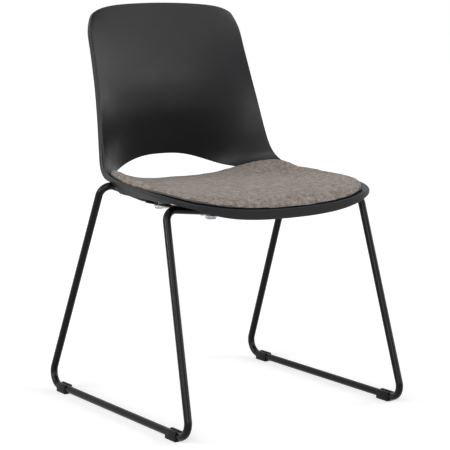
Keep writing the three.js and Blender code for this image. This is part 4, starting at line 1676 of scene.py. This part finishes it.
    def build(self, finishes: Finishes) -> None:
        """Makes and dresses the fittings.

        Args:
            finishes: the chair's materials.
        """
        washer_z = BAR_BOTTOM - GAP - self.washer_thickness
        screw_length = BAR_TOP + 2 * GAP + INSERT_LENGTH - washer_z + GAP
        glide_y = BEND_START_Y - self.glide_length / 2
        for side in Side:
            x = side.value * BAR_X
            for end in End:
                word = f"{end.word}_{side.word}"
                Bench.dress(self.bumper(f"{word}_bumper_foot", (x, BUMPER_Y[end], BAR_BOTTOM)),
                            finishes.bumper, Slot.BUMPER, f"{word}_bumper")
                Bench.dress(self.glide(f"{word}_glide_sleeve", side.value * RUNNER_X, end.value * glide_y),
                            finishes.glide, Slot.GLIDE, f"{word}_glide")
                Bench.dress(self.washer(f"{word}_washer_ring", (x, SCREW_Y[end], washer_z)),
                            finishes.steel, Slot.STEEL, f"{word}_washer")
                Bench.dress(self.shell_screw(f"{word}_button_screw", (x, SCREW_Y[end], washer_z - GAP),
                                             screw_length),
                            finishes.steel, Slot.STEEL, f"{word}_shell_screw")
                self.finish_node(f"{word}_insert", finishes.brass)
        for end, (across, along) in self.PAD_SCREWS.items():
            for side in Side:
                word = f"{end.word}_{side.word}"
                Bench.dress(self.pad_screw(f"{word}_pan_screw", side.value * across, along),
                            finishes.steel, Slot.STEEL, f"{word}_pad_screw")
        self.finish_node("pad_board", finishes.board)


# The studio


@dataclass(frozen=True)
class SkyLamp:
    """An even light from far off, like a softbox or a bright wall; its angles are in degrees.

    The way to it is counted from straight ahead of the sitter, towards the sitter's left, and up.
    """

    name: str
    aside: float
    above: float
    spread: float
    strength: float
    distance: float = 3.0

    def build(self) -> None:
        """Adds the lamp."""
        aside, above = math.radians(self.aside), math.radians(self.above)
        way = Vector((math.sin(aside) * math.cos(above), -math.cos(aside) * math.cos(above),
                      math.sin(above)))
        data = bpy.data.lights.new(self.name, "SUN")
        data.angle = math.radians(self.spread)
        data.energy = self.strength
        lamp = bpy.data.objects.new(self.name, data)
        lamp.location = way * self.distance
        lamp.rotation_euler = (-way).to_track_quat("-Z", "Y").to_euler()
        bpy.context.scene.collection.objects.link(lamp)


@dataclass
class Studio:
    """The camera, the pale floor, the white surround and the lamps."""

    eye: Triple = (-1.7319, -2.5171, 0.8033)
    tilt: float = 81.69
    swing: float = -34.60
    lens: float = 121.36
    sensor: float = 36.0
    far: float = 60.0
    floor_size: float = 24.0
    ambient: float = 0.25
    floor_colour: float = 0.80
    floor_lift: float = 0.48
    lamps: tuple[SkyLamp, ...] = (
        SkyLamp("high softbox", 52.0, 30.0, 26.0, 0.55),
        SkyLamp("right softbox", 66.0, 20.0, 34.0, 0.40),
        SkyLamp("low front strip", 38.0, 3.0, 24.0, 0.62),
        SkyLamp("right side wall", 90.0, 2.0, 36.0, 0.60),
        SkyLamp("left front softbox", -34.0, 24.0, 40.0, 1.05),
        SkyLamp("left side softbox", -104.0, 26.0, 30.0, 1.05),
        SkyLamp("left side strip", -84.0, 13.0, 10.0, 0.75),
        SkyLamp("left front wall", -45.0, -2.0, 34.0, 0.70),
    )

    def camera(self) -> None:
        """Adds the camera at the photograph's viewing angle."""
        data = bpy.data.cameras.new("camera")
        assign(data, sensor_width=self.sensor, sensor_fit="HORIZONTAL", lens=self.lens, clip_end=self.far)
        camera = bpy.data.objects.new("camera", data)
        camera.location = self.eye
        camera.rotation_euler = (math.radians(self.tilt), 0.0, math.radians(self.swing))
        bpy.context.scene.collection.objects.link(camera)
        bpy.context.scene.camera = camera

    @staticmethod
    def seen(tree: NodeTree) -> bpy.types.NodeSocket:
        """Makes a value of 1 for rays from the camera, off gloss or through glass, else 0.

        Args:
            tree: the nodes that it is for.

        Returns:
            The value.
        """
        path = tree.add("LightPath")
        value = path.outputs["Is Camera Ray"]
        for other in ("Is Glossy Ray", "Is Transmission Ray"):
            value = tree.math("MAXIMUM", value, path.outputs[other])
        return value

    def world(self) -> None:
        """Makes the surround: white where it is seen, softer as light."""
        world = bpy.data.worlds.new("surround")
        world.use_nodes = True
        tree = NodeTree(world.node_tree)
        background = tree.nodes["Background"].inputs
        tree.fill(background["Color"], (1.0, 1.0, 1.0, 1.0))
        tree.fill(background["Strength"], tree.span(self.seen(tree), self.ambient, 1.0, 0.0, 1.0))
        bpy.context.scene.world = world

    def floor(self) -> None:
        """Adds the pale floor, which keeps the chair's shadow."""
        floor = Bench.start(bpy.ops.mesh.primitive_plane_add, "studio_floor", size=self.floor_size,
                            location=(0.0, 0.0, 0.0))
        material = bpy.data.materials.new("pale floor")
        material.use_nodes = True
        tree = NodeTree(material.node_tree)
        tree.nodes.clear()
        matte = tree.add("BsdfDiffuse", Color=(*(self.floor_colour,) * 3, 1.0))
        lift = tree.add("Emission", Strength=tree.math("MULTIPLY", self.seen(tree), self.floor_lift))
        both = tree.add("AddShader", matte.outputs[0], lift.outputs[0])
        tree.add("OutputMaterial", Surface=both.outputs[0])
        floor.data.materials.append(material)

    def build(self) -> None:
        """Sets up the whole studio."""
        self.camera()
        self.world()
        self.floor()
        for lamp in self.lamps:
            lamp.build()
        bpy.context.scene.view_settings.view_transform = "Standard"


def main() -> None:
    """Builds the chair's pieces and the studio."""
    logging.basicConfig(level=logging.INFO, format="%(message)s")
    Studio().build()
    finishes = Finishes()
    surface = ShellSurface()
    ShellMoulding(surface).build(finishes)
    SeatPad(surface).build(finishes)
    RodFrame().build(finishes)
    Fittings(surface).build(finishes)
    Bench.clear()


if __name__ == "__main__":
    main()
